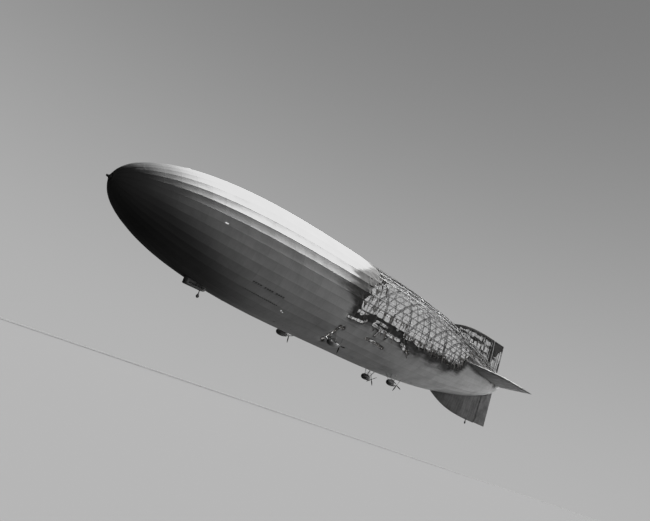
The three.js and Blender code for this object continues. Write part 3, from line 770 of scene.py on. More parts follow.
def glowing_glass():
    """Frosted glass that glows: milky, dimmer in patches. On the long strip on the flank the glow is painted
    light, a stand-in for a bright reflection.
    """
    material, tree, shader = new_material("glowing_glass")
    frost = mapped(tree, noise(tree, object_coords(tree), 9.0, 5.0, 0.6), 0.3, 0.75)
    glow = layered(tree, grey(1.0), (frost, 1, grey(0.7)))
    base = layered(tree, grey(0.8), (frost, 1, grey(0.6)))
    rough = mapped(tree, frost, 0.0, 1.0, 0.3, 0.5)
    shade(tree, shader, base, rough, Emission_Color=glow, Emission_Strength=0.6)
    return material


COVER_CLOTH = doped_cover()
# Inner face of the cover: undoped cloth, sooty in blotches, burnt at its torn edges.
INNER_CLOTH = weathered(
    "cover_inside", 2.0, grey(0.30, 0.04), [("Blotch", 1, grey(0.17, 0.05)), ("Char", 1, CHARRED)], 0.9,
    ((60.0, 3.0, 0.6), 0, 0.3, 0.004), burnt=True,
)
GIRDER_METAL = sooted_metal("girder_metal", 0.14, 0.05, 0.45, 0.5)
CAR_METAL = sooted_metal("car_metal", 0.42, 0.26, 0.7, 0.36, 4.0)
BOW_METAL = sooted_metal("bow_metal", 0.12, 0.07, 0.4, 0.5, 2.0)
# Gas cell cloth: creased, sooty in blotches.
CELL_CLOTH = weathered(
    "cell_cloth", 1.6, grey(0.34, 0.05), [("Blotch", 1, grey(0.14, 0.06))], 0.85,
    ((5.0, 6.0, 0.65), 0, 0.5, 0.02),
)
# Doped fabric of the fins: sooty in blotches and streaks, the ribs showing as fine lines.
FIN_CLOTH = weathered(
    "fin_cloth", 1.6, grey(0.185),
    [("Blotch", 0.5, grey(0.11)), ("Streak", 0.42, grey(0.06, 0.03)), ("Seam", 0.75, grey(0.06)),
     ("Ridge", 0.5, grey(0.07))],
    (0.62, 0.2), ((6.0, 5.0, 0.6), 0.8, 0.3, 0.01), line=0.04, Metallic=0.1,
)
FRAME_PAINT = sooted_metal("frame_paint", 0.46, 0.34, 0.1, 0.55, 4.0)
# Glass that glows: painted light on the long strip on the flank.
GLOWING_GLASS = glowing_glass()
# Laminated propeller wood: long grain in light and dark strips under varnish, scuffed.
GRAIN = (3.0, 6.0, 0.65, (9.0, 40.0, 3.0))
BLADE_WOOD = patterned(
    "varnished_wood", grey(0.10, 0.12), [(GRAIN, 0.35, 0.7, grey(0.045, 0.15))],
    ((14.0, 5.0, 0.6), 0.3, 0.75, 0.28, 0.55), (GRAIN, 0.2, 0.002), Coat_Weight=0.4,
)
# Cast iron under oil and heat scale: near black, mottled, slick in patches.
SLICK = (9.0, 5.0, 0.6)
ENGINE_IRON = patterned(
    "oily_iron", grey(0.07), [(SLICK, 0.35, 0.7, grey(0.025))], (SLICK, 0.35, 0.7, 0.6, 0.32),
    ((45.0, 6.0, 0.7), 0.4, 0.004), Metallic=0.6,
)
# Black rubber with a chalky bloom and a moulded grain.
BLOOM = (24.0, 6.0, 0.65)
TYRE_RUBBER = patterned(
    "tyre_rubber", grey(0.018), [(BLOOM, 0.4, 0.75, grey(0.05))], (BLOOM, 0.4, 0.75, 0.55, 0.85),
    ((160.0, 3.0, 0.6), 0.3, 0.001),
)
# Netting cord: twisted fibre, darkened in patches.
TWIST = (70.0, 4.0, 0.6)
ROPE = patterned(
    "hemp", grey(0.26, 0.06),
    [(TWIST, 0.35, 0.7, grey(0.14, 0.07)), ((4.0, 5.0, 0.6), 0.4, 0.7, grey(0.03, 0.08))],
    0.92, (TWIST, 0.4, 0.002),
)
CLEAR_GLASS = glass("clear_glass", 0.7, 0.9)
DARK_GLASS = glass("dark_glass", 0.19, 0.0)


# Hull covers

def panel_map(s, turn):
    """The skin's own map: rings along, longitudinals round."""
    return np.stack([bay_number(s), turn / FACET], 1)


def around(columns):
    """Degrees once round the hull, with so many columns in a facet."""
    return np.linspace(-180, 180, SIDES * columns + 1)


# The cover's sections, each between two main rings.
for name, (first_ring, last_ring, rows, burnt) in COVERS.items():
    s = ring_place(np.linspace(first_ring, last_ring, (last_ring - first_ring) * rows + 1))
    s[0] += SEAM
    s[-1] -= SEAM
    shape = Shape()
    skin_mesh(shape, hull_point, cover_left if burnt else whole_cover, s, around(6), panel_map, joined=True)
    shape.build(name + "_skin", "root", "cover", [COVER_CLOTH, INNER_CLOTH], [name], sharp=7.0, with_uvs=True)


# Frame under the cover

RAIL = 0.09
LACING = 0.05
GIRDER_TOP = 0.24
GIRDER_HALF = 0.2
GIRDER_DEEP = 0.34
LACING_PITCH = 1.1
RING_SPREAD = 0.28
RING_DEPTH = 0.5
WIRE_DEPTH = 0.42


def longitudinal(shape, start, end, turn):
    """Three-railed girder on a corner of the section: two rails side by side and one below them."""
    first, last = bay_number(start), bay_number(end)
    stations = ring_place(np.unique([first, last, *np.arange(np.ceil(first), last)]))

    def rail(offset, deep):
        return lambda s: round_axis(
            s, hull_radius(s) - GIRDER_TOP - deep, turn + math.degrees(GIRDER_HALF) * offset / hull_radius(s),
        )

    laced(shape, [rail(-1, 0), rail(1, 0), rail(0, GIRDER_DEEP)], stations, LACING_PITCH, RAIL, LACING)


def frame_ring(shape, at, main):
    """Ring of the frame: an outer rail and an inner one half a corner on, joined corner to corner by braces.
    A main ring is deeper, with two outer rails, braces between them and radial wires."""
    sides, deep, outer_width, inner_width, brace = ((0,), 0.85, 0.1, 0.07, 0.05)
    if main:
        sides, deep, outer_width, inner_width, brace = ((-1, 1), 1.35, 0.13, 0.13, 0.09)
    outer = [on_hull(at + side * RING_SPREAD, CORNERS, -RING_DEPTH) for side in sides]
    inner = on_hull(at, CORNERS + FACET / 2, -deep)
    for rail in outer:
        hoop(shape, rail, outer_width)
    hoop(shape, inner, inner_width)
    if main:
        bars(shape, outer[0], outer[1], 0.09)
        bars(shape, outer[0], np.roll(outer[1], -1, 0), 0.07, section=TRIANGLE)
    for rail in outer:
        for step in (0, 1):
            bars(shape, rail, np.roll(inner, step, 0), brace, section=TRIANGLE, up=FORE)
    if main:
        hub = on_hull(at, CORNERS[::2], 0) * [1, 0.03, 0.03]
        bars(shape, inner[::2], hub, WIRE, section=TRIANGLE, up=FORE)


def frame_run(node_name, start, end, first, last):
    """One run of the frame: all longitudinals, its rings, and crossed wires in the panels between them."""
    shape = Shape()
    for turn in CORNERS:
        longitudinal(shape, start, end, turn)
    numbers = range(first, last + 1)
    for number in numbers:
        frame_ring(shape, ring_place(number), number % BAYS == 0)
    for number in numbers:
        fore, aft = (on_hull(ring_place(n), CORNERS, -WIRE_DEPTH) for n in (number, number + 1))
        if ring_place(number + 1) <= end + 0.5:
            bars(shape, fore, np.roll(aft, -1, 0), WIRE, section=TRIANGLE)
            bars(shape, aft, np.roll(fore, -1, 0), WIRE, section=TRIANGLE)
    shape.build(node_name + "_truss", "root", "girder", [GIRDER_METAL], [node_name], flat=True)


frame_run("frame_fore", 96.2, 139.9, 18, 25)
frame_run("frame_middle", 140.0, 185.7, 26, 34)
frame_run("frame_aft", 185.8, 239.4, 35, 47)


def dress(node_name, material):
    """Gives a frame node its finish."""
    materials = frame["nodes"][node_name].data.materials
    materials.clear()
    materials.append(material)


# Bow cap, mooring spindle and tail cone

def end_cap(node_name, tip, base, steps):
    """Cap of the cover's own form from tip to base, closed by a disc at its tip, with battens and a band."""
    s = np.sort(tip + (base - tip) * np.linspace(0, 1, steps) ** 1.7)
    shape = Shape()
    skin_mesh(shape, hull_point, whole_cover, s, around(4), panel_map, joined=True)
    rim = float(hull_radius(tip)) * MID_FACET * 1.001
    back = tip + math.copysign(0.12, base - tip)
    lathe(shape, [(tip, rim), (tip, 0.05), (back, 0.05), (back, rim)], SIDES, material=2)
    along = np.linspace(min(tip, base) + 0.4, max(tip, base) - 0.4, 8)
    for turn in CORNERS[::2]:
        polyline(shape, on_hull(along, turn, -0.01), 0.12, 0.07, material=2)
    hoop(shape, on_hull(base, CORNERS, -0.05), 0.1, 0.04, material=2)
    materials = [COVER_CLOTH, INNER_CLOTH, BOW_METAL]
    name = node_name + "_battens"
    shape.build(name, "root", "bow_metal", materials, [node_name], sharp=25.0, with_uvs=True)


def mooring_spindle():
    """Spindle turned round the axis: a cone with a collar and a swivelling head with a cable eye."""
    shape = Shape()
    lathe(shape, [
        (-1.2, 0.2), (-1.17, 0.27), (-0.93, 0.3), (-0.9, 0.4), (-0.86, 0.42), (-0.44, 0.42), (-0.4, 0.38),
        (-0.36, 0.42), (-0.24, 0.6), (-0.1, 0.75), (0.12, 0.86), (0.24, 0.9), (0.29, 0.9),
    ], 40, closed=False)
    turn = np.radians(np.arange(12) * 30)
    bolts = xyz(0.2, 0.8 * np.cos(turn), 0.8 * np.sin(turn))
    bars(shape, bolts, bolts - FORE * 0.2, 0.09, section=OCTAGON, up=UP)
    t = np.linspace(0, math.pi, 17)
    polyline(shape, xyz(-0.66, 0.42 + 0.16 * np.sin(t), 0.2 * np.cos(t)), 0.07, up=FORE, section=OCTAGON)
    shape.build("mooring_spindle_turned", "root", "bow_metal", [BOW_METAL], ["mooring_spindle"])


# Gas cell end and its netting

CELL_BULGE = 2.4
CELL_SKIRT = 5.0


def gas_cell():
    """End of the last whole gas cell: a dome with radial creases, under a net of radial and ring cords."""
    corners = node_points("gas_cell_end")
    rim = np.hypot(corners[:, 1], corners[:, 2]).max() * MID_FACET
    base = corners[:, 0].max() - CELL_BULGE

    def dome(share, turn, inset=0.0):
        """Share of the radius and degrees round: the height is the bulge times sqrt(1 - share^4), creased by
        noise. Past 1 the cloth runs forward as a skirt."""
        inside = np.minimum(share, 1.0)
        folds = value_noise(turn * 0.4, share * 2.0, 31) * 0.16
        folds = folds + value_noise(turn * 0.12, share * 5.0, 32) * 0.22
        bulge = CELL_BULGE * np.sqrt(np.maximum(1 - inside ** 4, 0)) - CELL_SKIRT * np.maximum(share - 1, 0)
        s = base + bulge - inset * (share <= 1) + folds * np.sin(np.pi * np.clip(share, 0, 1))
        return round_axis(s, rim * inside - 0.1 - inset * (share > 1), turn)

    shape = Shape()
    share = np.concatenate([np.linspace(0.03, 0.9, 22), [0.94, 0.97, 0.99, 1.0, 1.08]])
    skin_mesh(shape, dome, whole_cover, share, around(4), joined=True, thick=0.06, curl=0.0, inside=0)
    top = base + CELL_BULGE
    hub = [(top - 0.3, 0.9), (top + 0.16, 0.9), (top + 0.2, 0.8), (top + 0.2, 0.55), (top - 0.3, 0.55)]
    lathe(shape, hub, 24, material=1)
    for share in np.linspace(0.12, 0.96, 9):
        hoop(shape, dome(share, CORNERS, -0.06), 0.05, section=TRIANGLE, up=FORE, material=1)
    for turn in CORNERS:
        cord = dome(np.linspace(0.05, 0.99, 14), turn, -0.06)
        polyline(shape, cord, 0.05, up=FORE, section=TRIANGLE, material=1)
    shape.build("gas_cell_netted", "root", "gas_cell", [CELL_CLOTH, ROPE], ["gas_cell_end"], sharp=40.0)


# Inside the burnt part

def walkways():
    """Axial walkway, a three-railed girder, and the keel walkway with its boards, burnt off in places."""
    shape = Shape()

    def axial_rail(angle):
        return lambda s: xyz(s, 0.55 * math.cos(angle), 0.55 * math.sin(angle))

    def keel_rail(side, deep):
        return lambda s: xyz(s, side, -(hull_radius(s) - deep))

    upward = (0, 0.3, 1)
    rails = [axial_rail(angle) for angle in (-math.pi / 2, math.pi / 6, math.pi * 5 / 6)]
    laced(shape, rails, np.linspace(99.3, 239.0, 48), 1.3, 0.1, 0.05, upward)
    rails = [keel_rail(-0.9, 1.0), keel_rail(0.9, 1.0), keel_rail(0, 3.1)]
    laced(shape, rails, np.linspace(100.8, 236.0, 50), 1.6, 0.13, 0.07, upward)
    start = np.arange(101.0, 235.0, 0.9)
    boards = keel_rail(-0.35, 1.12)(start)[value_noise(start * 0.12, 0 * start, 41) < 0.35]
    bars(shape, boards, boards + ACROSS * 0.7, 0.7, 0.05, up=UP)
    shape.build("walkways", "root", "girder", [GIRDER_METAL], flat=True)


def loose_girders():
    """Girders that broke off: two rails joined by zigzags along curves that droop from the frame."""
    shape = Shape()
    random = np.random.default_rng(6)
    t = np.linspace(0, 1, 13)[:, None]
    across = np.array([0.9, 0.1, 0.42]) * 0.19
    upward = (1, 0.2, 0)
    for i in range(26):
        at = random.uniform(103, 118) if i % 2 else random.uniform(120, 226)
        turn = random.choice([-1, 1]) * (random.integers(8, 17) * FACET)
        top = on_hull(at, turn, -0.6)
        length = random.uniform(3.5, 9)
        lean = random.uniform(-0.5, 0.5)
        bow = np.sin(t * random.uniform(2.0, 3.4)) * random.uniform(0.3, 1.2)
        middle = top + t * length * ([lean, 0, -0.9] - radial(top) * 0.35) + bow * [0.4, 1, 0.2]
        rails = (middle - across, middle + across)
        for rail in rails:
            polyline(shape, rail, 0.07, up=upward)
        polyline(shape, alternate(*rails), 0.045, up=upward, section=TRIANGLE)
    shape.build("loose_girders", "root", "girder", [GIRDER_METAL], flat=True)


def tatters():
    """Burnt strips of cover by the torn edge: each a narrow sheet that hangs from the frame and sways."""
    shape = Shape()
    random = np.random.default_rng(14)
    s = np.repeat(np.arange(101.0, 231.0, 0.6), SIDES)
    turn = np.tile(np.arange(-17.0, 19.0) * FACET, len(s) // SIDES)
    s = s + random.uniform(-0.3, 0.3, len(s))
    level, _ = cover_left(s, turn)
    near = (level < -0.3) & (level > -5.0) & (random.uniform(size=len(s)) < 0.3)
    rows, columns = 9, 5
    u, v = np.meshgrid(np.linspace(0, 1, rows), np.linspace(-0.5, 0.5, columns), indexing="ij")
    triangles = split(grid_faces(rows, columns))
    burn = 0.4 + 2.4 * (u.ravel() < 0.3)
    for hook in on_hull(s[near], turn[near], -0.22):
        width = random.uniform(0.4, 1.5)
        length = random.uniform(0.8, 3.6) + value_noise(v * 3 + hook[0], v * 0, 15) * 0.5
        sway = np.sin(u * random.uniform(2, 5) + random.uniform(0, 6)) * 0.25 * u
        side = v * width * (1 - 0.55 * u)
        cloth = hook + xyz(side + sway * 0.6, sway, -u * length) + radial(hook) * 0.12 * (v[..., None] ** 2)
        cloth = cloth.reshape(-1, 3)
        back = cloth + ACROSS * math.copysign(0.03, -hook[1] if hook[1] else 1)
        thick_skin(shape, cloth, back, triangles, np.zeros((len(triangles), 3, 2)), burn, 0)
    shape.build("cover_tatters", "root", "scorched_cover", [INNER_CLOTH], sharp=60.0, with_uvs=True)


# Fins and control surfaces

# Columns: metres aft of the nose, outer edge from the axis, half thickness at the foot, at the outer edge.
FIN = np.array([
    (187.0, 17.2, 0.15, 0.10), (193.3, 19.3, 0.80, 0.22), (200.0, 21.0, 1.40, 0.32),
    (206.8, 22.1, 1.75, 0.40), (214.0, 22.7, 1.85, 0.45), (222.0, 23.0, 1.60, 0.45),
    (231.0, 23.0, 1.15, 0.40),
])
FIN_FRONT, FIN_BACK = FIN[0, 0], FIN[-1, 0]
HINGE_AT = float(joint_place("rudder_upper_hinge")[0])
RUDDER_END = 242.6
RUDDER_TOP = 22.7
NOSE_BACK = HINGE_AT + 0.5
# Sideways part of each metre behind the hinge at full travel, which is 20 degrees.
PASSING = math.sin(math.radians(20))
# Height and radius of a control surface's nose, low and high on it.
HINGE_LOW, HINGE_HIGH = (7.0, 1.1), (23.0, 0.42)
LUG_HEIGHTS = (11.5, 20.0)
LUG_CLEAR = 0.17
RIB_PITCH = 2.2
SURFACE_RIBS = 1.1
FIN_CLOTH_WIDTH = 3.1
SURFACE_CLOTH_WIDTH = 1.9
# Fin, its control surface, degrees that they are turned about the axis.
FINS = [
    ("fin_port", "elevator_port", -90), ("fin_lower", "rudder_lower", 180),
    ("fin_starboard", "elevator_starboard", 90),
]


def turned(turn):
    """Places (aft, sideways, height) of a fin that points up, turned about the axis to its own side."""
    angle = math.radians(turn)
    c, z = round(math.cos(angle)), round(math.sin(angle))

    def place(local):
        s, y, h = np.moveaxis(np.asarray(local, float), -1, 0)
        return xyz(s, y * c - h * z, y * z + h * c)

    return place


def fin_outer(s):
    """Outer edge of a fin, metres from the axis."""
    return smooth(FIN, 1, s)


def fin_half(s, h):
    """Half thickness of a fin: it thins evenly from its foot and rounds off over its outer edge."""
    outer, foot, tip = (smooth(FIN, column, s) for column in (1, 2, 3))
    low = hull_radius(s) - 0.6
    edge = np.minimum(0.6, (outer - low) * 0.3)
    t = np.clip((h - low) / (outer - edge - low), 0, 1)
    flat = foot + (tip + (foot - tip) * 0.15 - foot) * t
    past = np.clip((h - (outer - edge)) / edge, 0, 1)
    return flat * np.sqrt(1 - 0.8 * past ** 2)


def hinge_half(h):
    """Radius of a control surface's nose, by height from the axis."""
    return HINGE_LOW[1] + (HINGE_HIGH[1] - HINGE_LOW[1]) * (h - HINGE_LOW[0]) / (HINGE_HIGH[0] - HINGE_LOW[0])


def surface_half(s, h):
    """Half thickness of a control surface behind its hinge: an even taper to a thin back edge."""
    share = np.clip((s - HINGE_AT) / (RUDDER_END - HINGE_AT), 0, 1)
    return hinge_half(h) * (1 - share) + 0.06 * share


def surface_foot(s):
    """Foot of a control surface: hull radius + 0.66, or PASSING (s - hinge) + 0.42 where that is higher, so
    that a rudder and an elevator at full travel pass each other."""
    return np.maximum(hull_radius(s) + 0.66, PASSING * (s - HINGE_AT) + 0.42)


def drawn_in(place, pitch, deep):
    """How far cloth lies under its ribs: a parabola between each two of them."""
    return deep * (1 - 4 * from_middle(place / pitch) ** 2)


def two_sided(s, half, h):
    """Sections of a fin: up its one face and down the other."""
    return np.concatenate([xyz(s, half, h), xyz(s, -half, h)[:, ::-1]], 1)


def fin_loft(shape, points, place, start, pitch, width, material=0, burn=CLEAN):
    """Closed fin of sections that are mapped by ribs along and widths of cloth up."""
    uv = np.stack([(points[..., 0] - start) / pitch, points[..., 2] / width], -1)
    loft(shape, place(points), material, uv=np.concatenate([uv, uv[:, :1]], 1), burn=burn)


def lugs(shape, place, material):
    """Hinge lugs: rounded plates on the fin's back edge, with a boss round each pin."""
    t = np.linspace(-math.pi / 2, math.pi / 2, 9)
    arc = np.stack([0.04 + 0.26 * np.cos(t), 0.34 * np.sin(t)], 1)
    x, y = np.concatenate([[[-1.0, -0.34]], arc, [[-1.0, 0.34]]]).T
    for h in LUG_HEIGHTS:
        loft(shape, place(xyz(HINGE_AT + x, y, h + np.array([[-0.1], [0.1]]))), material)


def fin_surface(name, turn):
    """Whole fin: closed sections from foot over the edge to foot, cloth drawn in between its ribs,
    with a hollow along its back round the control surface's nose."""
    place = turned(turn)
    s = np.concatenate([np.linspace(FIN_FRONT, FIN_BACK, 121), np.full(4, FIN_BACK)])
    hollow = np.concatenate([np.ones(121), [0.97, 0.75, 0.4, 0.05]])[:, None]
    v = np.concatenate([np.linspace(0, 0.9, 16), [0.94, 0.97, 0.99, 1.0]])
    s, v = np.meshgrid(s, v, indexing="ij")
    low = hull_radius(s) - 0.25
    h = low + (fin_outer(s) - low) * v
    half = fin_half(s, h) - drawn_in(s - FIN_FRONT, RIB_PITCH, 0.05) * ease(s, 190, 196)
    half = np.maximum(half, 0.03) * hollow
    back = HINGE_AT - np.sqrt(np.maximum((hinge_half(h) + 0.06) ** 2 - half ** 2, 0.0))
    s = np.where(hollow < 1, np.minimum(back, FIN_BACK), s)
    shape = Shape()
    fin_loft(shape, two_sided(s, half, h), place, FIN_FRONT, RIB_PITCH, FIN_CLOTH_WIDTH)
    lugs(shape, place, 1)
    shape.build(name + "_covered", "root", "cover", [FIN_CLOTH, CAR_METAL], [name], sharp=25.0, with_uvs=True)


def surface_nose(shape, place):
    """Round nose of a control surface, parted at the hinge lugs, with its pins."""
    lug_edges = [h + side * LUG_CLEAR for h in LUG_HEIGHTS for side in (-1, 1)]
    cuts = [surface_foot(HINGE_AT), *lug_edges, RUDDER_TOP]
    angle = np.linspace(0, math.pi, 15)
    for low, high in zip(cuts[::2], cuts[1::2]):
        h = np.linspace(low, high, 12)[:, None]
        r = hinge_half(h)
        back = surface_half(NOSE_BACK, h)
        s = np.pad(HINGE_AT - r * np.sin(angle), ((0, 0), (1, 1)), constant_values=NOSE_BACK)
        points = xyz(s, np.concatenate([back, r * np.cos(angle), -back], 1), h)
        fin_loft(shape, points, place, 0, RIB_PITCH, SURFACE_CLOTH_WIDTH)
    for h in LUG_HEIGHTS:
        ends = place(xyz(HINGE_AT, 0, [h - 0.24, h + 0.24]))
        polyline(shape, ends, 0.24, section=OCTAGON, up=FORE, material=1)


def control_surface(name, turn):
    """Rudder or elevator: sections that thin to its back edge, cloth drawn in between its ribs."""
    place = turned(turn)
    s = np.linspace(NOSE_BACK, RUDDER_END, 61)
    v = np.concatenate([np.linspace(0, 0.97, 15), [0.985, 1.0]])
    s, v = np.meshgrid(s, v, indexing="ij")
    h = surface_foot(s) + (RUDDER_TOP - surface_foot(s)) * v
    half = surface_half(s, h)
    half = half - drawn_in(s - HINGE_AT, SURFACE_RIBS, 0.03) * ease(half, 0.1, 0.4)
    half *= np.where(v > 0.99, 0.75, 1.0)
    shape = Shape()
    fin_loft(shape, two_sided(s, half, h), place, HINGE_AT, SURFACE_RIBS, SURFACE_CLOTH_WIDTH)
    surface_nose(shape, place)
    shape.build(name + "_covered", name, "cover", [FIN_CLOTH, CAR_METAL], [name], sharp=25.0, with_uvs=True)


# Ribs and spars of the upper fin and rudder that kept strips of cloth: metres aft, metres from the axis.
FIN_RIBS = (199.9, 206.8, 214.2, 221.8, 229.4)
RUDDER_RIBS = (232.5, 237.45, 241.9)
SPARS = (13.5, 17.9, 21.9)
# Corner of the rudder's cloth that stayed whole: (metres aft, metres from the axis).
WHOLE_CORNER = [(228.0, 22.9), (243.5, 22.9), (235.6, 14.6)]


def strips(s, h, ribs):
    """Metres of cloth that cling to ribs and spars: strips half a metre each side of them, in patches."""
    beside = np.minimum.reduce([np.abs(s - at) for at in ribs] + [np.abs(h - at) for at in SPARS])
    return np.minimum(0.62 - beside, two_noises(s, h, 53, (0.45, 1.3), (1.4, 0.6)) - 0.15)


def fin_level(s, h):
    """Metres of cloth left on the fin: it is gone between its foot, its front and a band along its edge."""
    foot, edge = hull_radius(s) + 0.8, fin_outer(s) - 1.7
    left = np.maximum.reduce([197.0 - s, s - 230.2, foot - h, h - edge])
    torn = two_noises(s, h, 51, (0.7, 0.7), (2.3, 0.3))
    return np.maximum(left + torn, strips(s, h, FIN_RIBS)), np.clip(left * 0.6, 0, CLEAN)


def rudder_level(s, h):
    """Metres of cloth left on the rudder: its upper corner, strips along its frame, a margin at its foot."""
    corner = np.full(s.shape, NOWHERE)
    for (s0, h0), (s1, h1) in zip(WHOLE_CORNER, WHOLE_CORNER[1:] + WHOLE_CORNER[:1]):
        inside = ((s - s0) * (h0 - h1) + (h - h0) * (s1 - s0)) / math.hypot(s1 - s0, h1 - h0)
        corner = np.minimum(corner, -inside)
    left = np.maximum(corner, surface_foot(s) + 0.7 - h)
    torn = two_noises(s, h, 55, (0.8, 0.6), (2.3, 0.25))
    return np.maximum(left + torn, strips(s, h, RUDDER_RIBS)), np.clip(left * 0.6, 0, CLEAN)


def burnt_skins(shape, half_of, s, foot_of, top_of, level):
    """Both torn skins of a burnt fin or rudder, on a grid of distance aft and share of the height."""
    def height(u, v):
        return foot_of(u) + (top_of(u) - foot_of(u)) * v

    def pattern(u, v):
        return np.stack([u / RIB_PITCH, height(u, v) / FIN_CLOTH_WIDTH], 1)

    for side in (-1, 1):
        def skin(u, v, inset):
            return xyz(u, side * (half_of(u, height(u, v)) - inset), height(u, v))

        def level_of(u, v):
            return level(u, height(u, v))

        skin_mesh(shape, skin, level_of, s, np.linspace(0, 1, 80), pattern, thick=0.05, curl=0.12)


def edge_beam(shape, stations, half_of, top_of, deep):
    """Solid band along the outer edge: sections that round over the edge, deep metres high."""
    s, v = np.meshgrid(stations, [0, 0.4, 0.7, 0.85, 0.95, 1.0], indexing="ij")
    h = top_of(s) - deep * (1 - v)
    fin_loft(shape, two_sided(s, half_of(s, h), h), np.asarray, 0, RIB_PITCH, FIN_CLOTH_WIDTH, burn=1.2)


def brace(shape, s, h, half_of, clear, up):
    """Rib or spar through points (s, h): two rails under the skins with zigzag braces between them."""
    half = np.maximum(half_of(s, h) - clear, 0.03)
    rails = (xyz(s, -half, h), xyz(s, half, h))
    for rail in rails:
        polyline(shape, rail, 0.12, up=up, material=2)
    polyline(shape, alternate(*rails), 0.07, up=up, section=TRIANGLE, material=2)


def rib(shape, at, half_of, low, high):
    """Rib across a fin, between two heights."""
    h = np.linspace(low, high, max(int((high - low) / 1.1), 2) + 1)
    brace(shape, np.full(len(h), at), h, half_of, 0.12, FORE)


def spar(shape, stations, half_of, height):
    """Spar along a fin, at one height."""
    brace(shape, stations, np.full(len(stations), height), half_of, 0.14, UP)


def build_burnt(shape, name, body, node_name):
    """Builds a burnt fin or rudder in the materials of the torn cover and its frame."""
    materials = [COVER_CLOTH, INNER_CLOTH, GIRDER_METAL]
    shape.build(name, body, "scorched_cover", materials, [node_name], sharp=25.0, with_uvs=True)


def burnt_fin():
    """Upper fin: torn skins over ribs and spars, with a whole band along its edge."""
    def top(s):
        return fin_outer(s) - 1.1

    def foot(s):
        return np.minimum(hull_radius(s) - 0.25, top(s) - 0.05)

    shape = Shape()
    burnt_skins(shape, fin_half, np.linspace(190.5, FIN_BACK, 190), foot, top, fin_level)
    edge_beam(shape, np.linspace(FIN_FRONT, FIN_BACK, 70), fin_half, fin_outer, 1.3)
    for at in (193.3, 196.6, 199.9, 203.2, 206.3, 207.3, 210.6, 213.7, 214.7, 218.1, 221.3, 222.3, 225.7,
               228.9, 229.9):
        rib(shape, at, fin_half, float(foot(at)) + 0.2, float(top(at)) + 0.3)
    for height, start in ((13.1, 203.5), (13.9, 203.5), (17.5, 193.0), (18.3, 194.0), (20.9, 202.0)):
        spar(shape, np.arange(start, 230.8, 1.15), fin_half, height)
    rib(shape, 230.7, fin_half, 8.0, 22.0)
    lugs(shape, turned(0), 2)
    build_burnt(shape, "fin_upper_burnt", "root", "fin_upper")


def burnt_rudder():
    """Upper rudder: torn skins over its frame, its nose and its upper back corner whole."""
    def edge(s):
        return RUDDER_TOP + 0 * s

    shape = Shape()
    s = np.linspace(NOSE_BACK, RUDDER_END - 0.3, 52)
    burnt_skins(shape, surface_half, s, surface_foot, lambda u: edge(u) - 0.5, rudder_level)
    edge_beam(shape, np.linspace(NOSE_BACK, RUDDER_END, 20), surface_half, edge, 0.6)
    h = np.linspace(surface_foot(RUDDER_END), RUDDER_TOP - 0.1, 14)
    polyline(shape, xyz(RUDDER_END - 0.12, 0, h), 0.24, 0.13, up=ACROSS, material=2)
    for at in (232.5, 234.7, 237.1, 237.9, 239.8, 241.7):
        rib(shape, at, surface_half, float(surface_foot(at)) + 0.1, RUDDER_TOP - 0.3)
    for height in (8.9, 13.1, 13.9, 17.5, 18.3, 21.7):
        start = 232.4 if height > 8.9 else 233.4
        spar(shape, np.arange(start, RUDDER_END - 0.1, 0.8), surface_half, height)
    surface_nose(shape, turned(0))
    build_burnt(shape, "rudder_upper_burnt", "rudder_upper", "rudder_upper")


# Engine cars

PROP_PLANE = 7.0
PROP_RADIUS = 3.0
CAR_OUT = 3.9
CAR_WALL = 0.1
CAR_PROFILE = np.array([
    (0, 0.6), (0.45, 1.0), (1.3, 1.27), (2.6, 1.35), (4.0, 1.22), (5.4, 0.86), (6.4, 0.42),
])
# Columns: metres behind the car's nose at the car, the same at the hull, sideways at the car, at the hull.
STRUTS = np.array([
    (1.9, 1.2, 0.55, 1.7), (1.9, 1.2, -0.55, -1.7), (4.2, 4.6, 0.5, 1.7), (4.2, 4.6, -0.5, -1.7),
])
LADDER_AT = 3.05
LADDER_HALF = 0.22
# Columns: share of the radius, chord, thickness, pitch in degrees.
BLADE = np.array([
    (0.07, 0.26, 0.20, 62), (0.3, 0.46, 0.12, 42), (0.65, 0.46, 0.07, 26), (1.0, 0.22, 0.03, 18),
])


def car_place(name):
    """Places (behind the car's nose, sideways, towards the hull), from the propeller's axis."""
    at = joint_place(f"propeller_{name}_spin")
    out = radial(at)
    axes = np.array([FORE, np.cross(out, FORE), -out])
    return lambda local: at - FORE * PROP_PLANE + np.asarray(local, float) @ axes


def car_radius(d):
    """Radius of an engine car's shell, by distance behind its nose."""
    return smooth(CAR_PROFILE, 1, d)


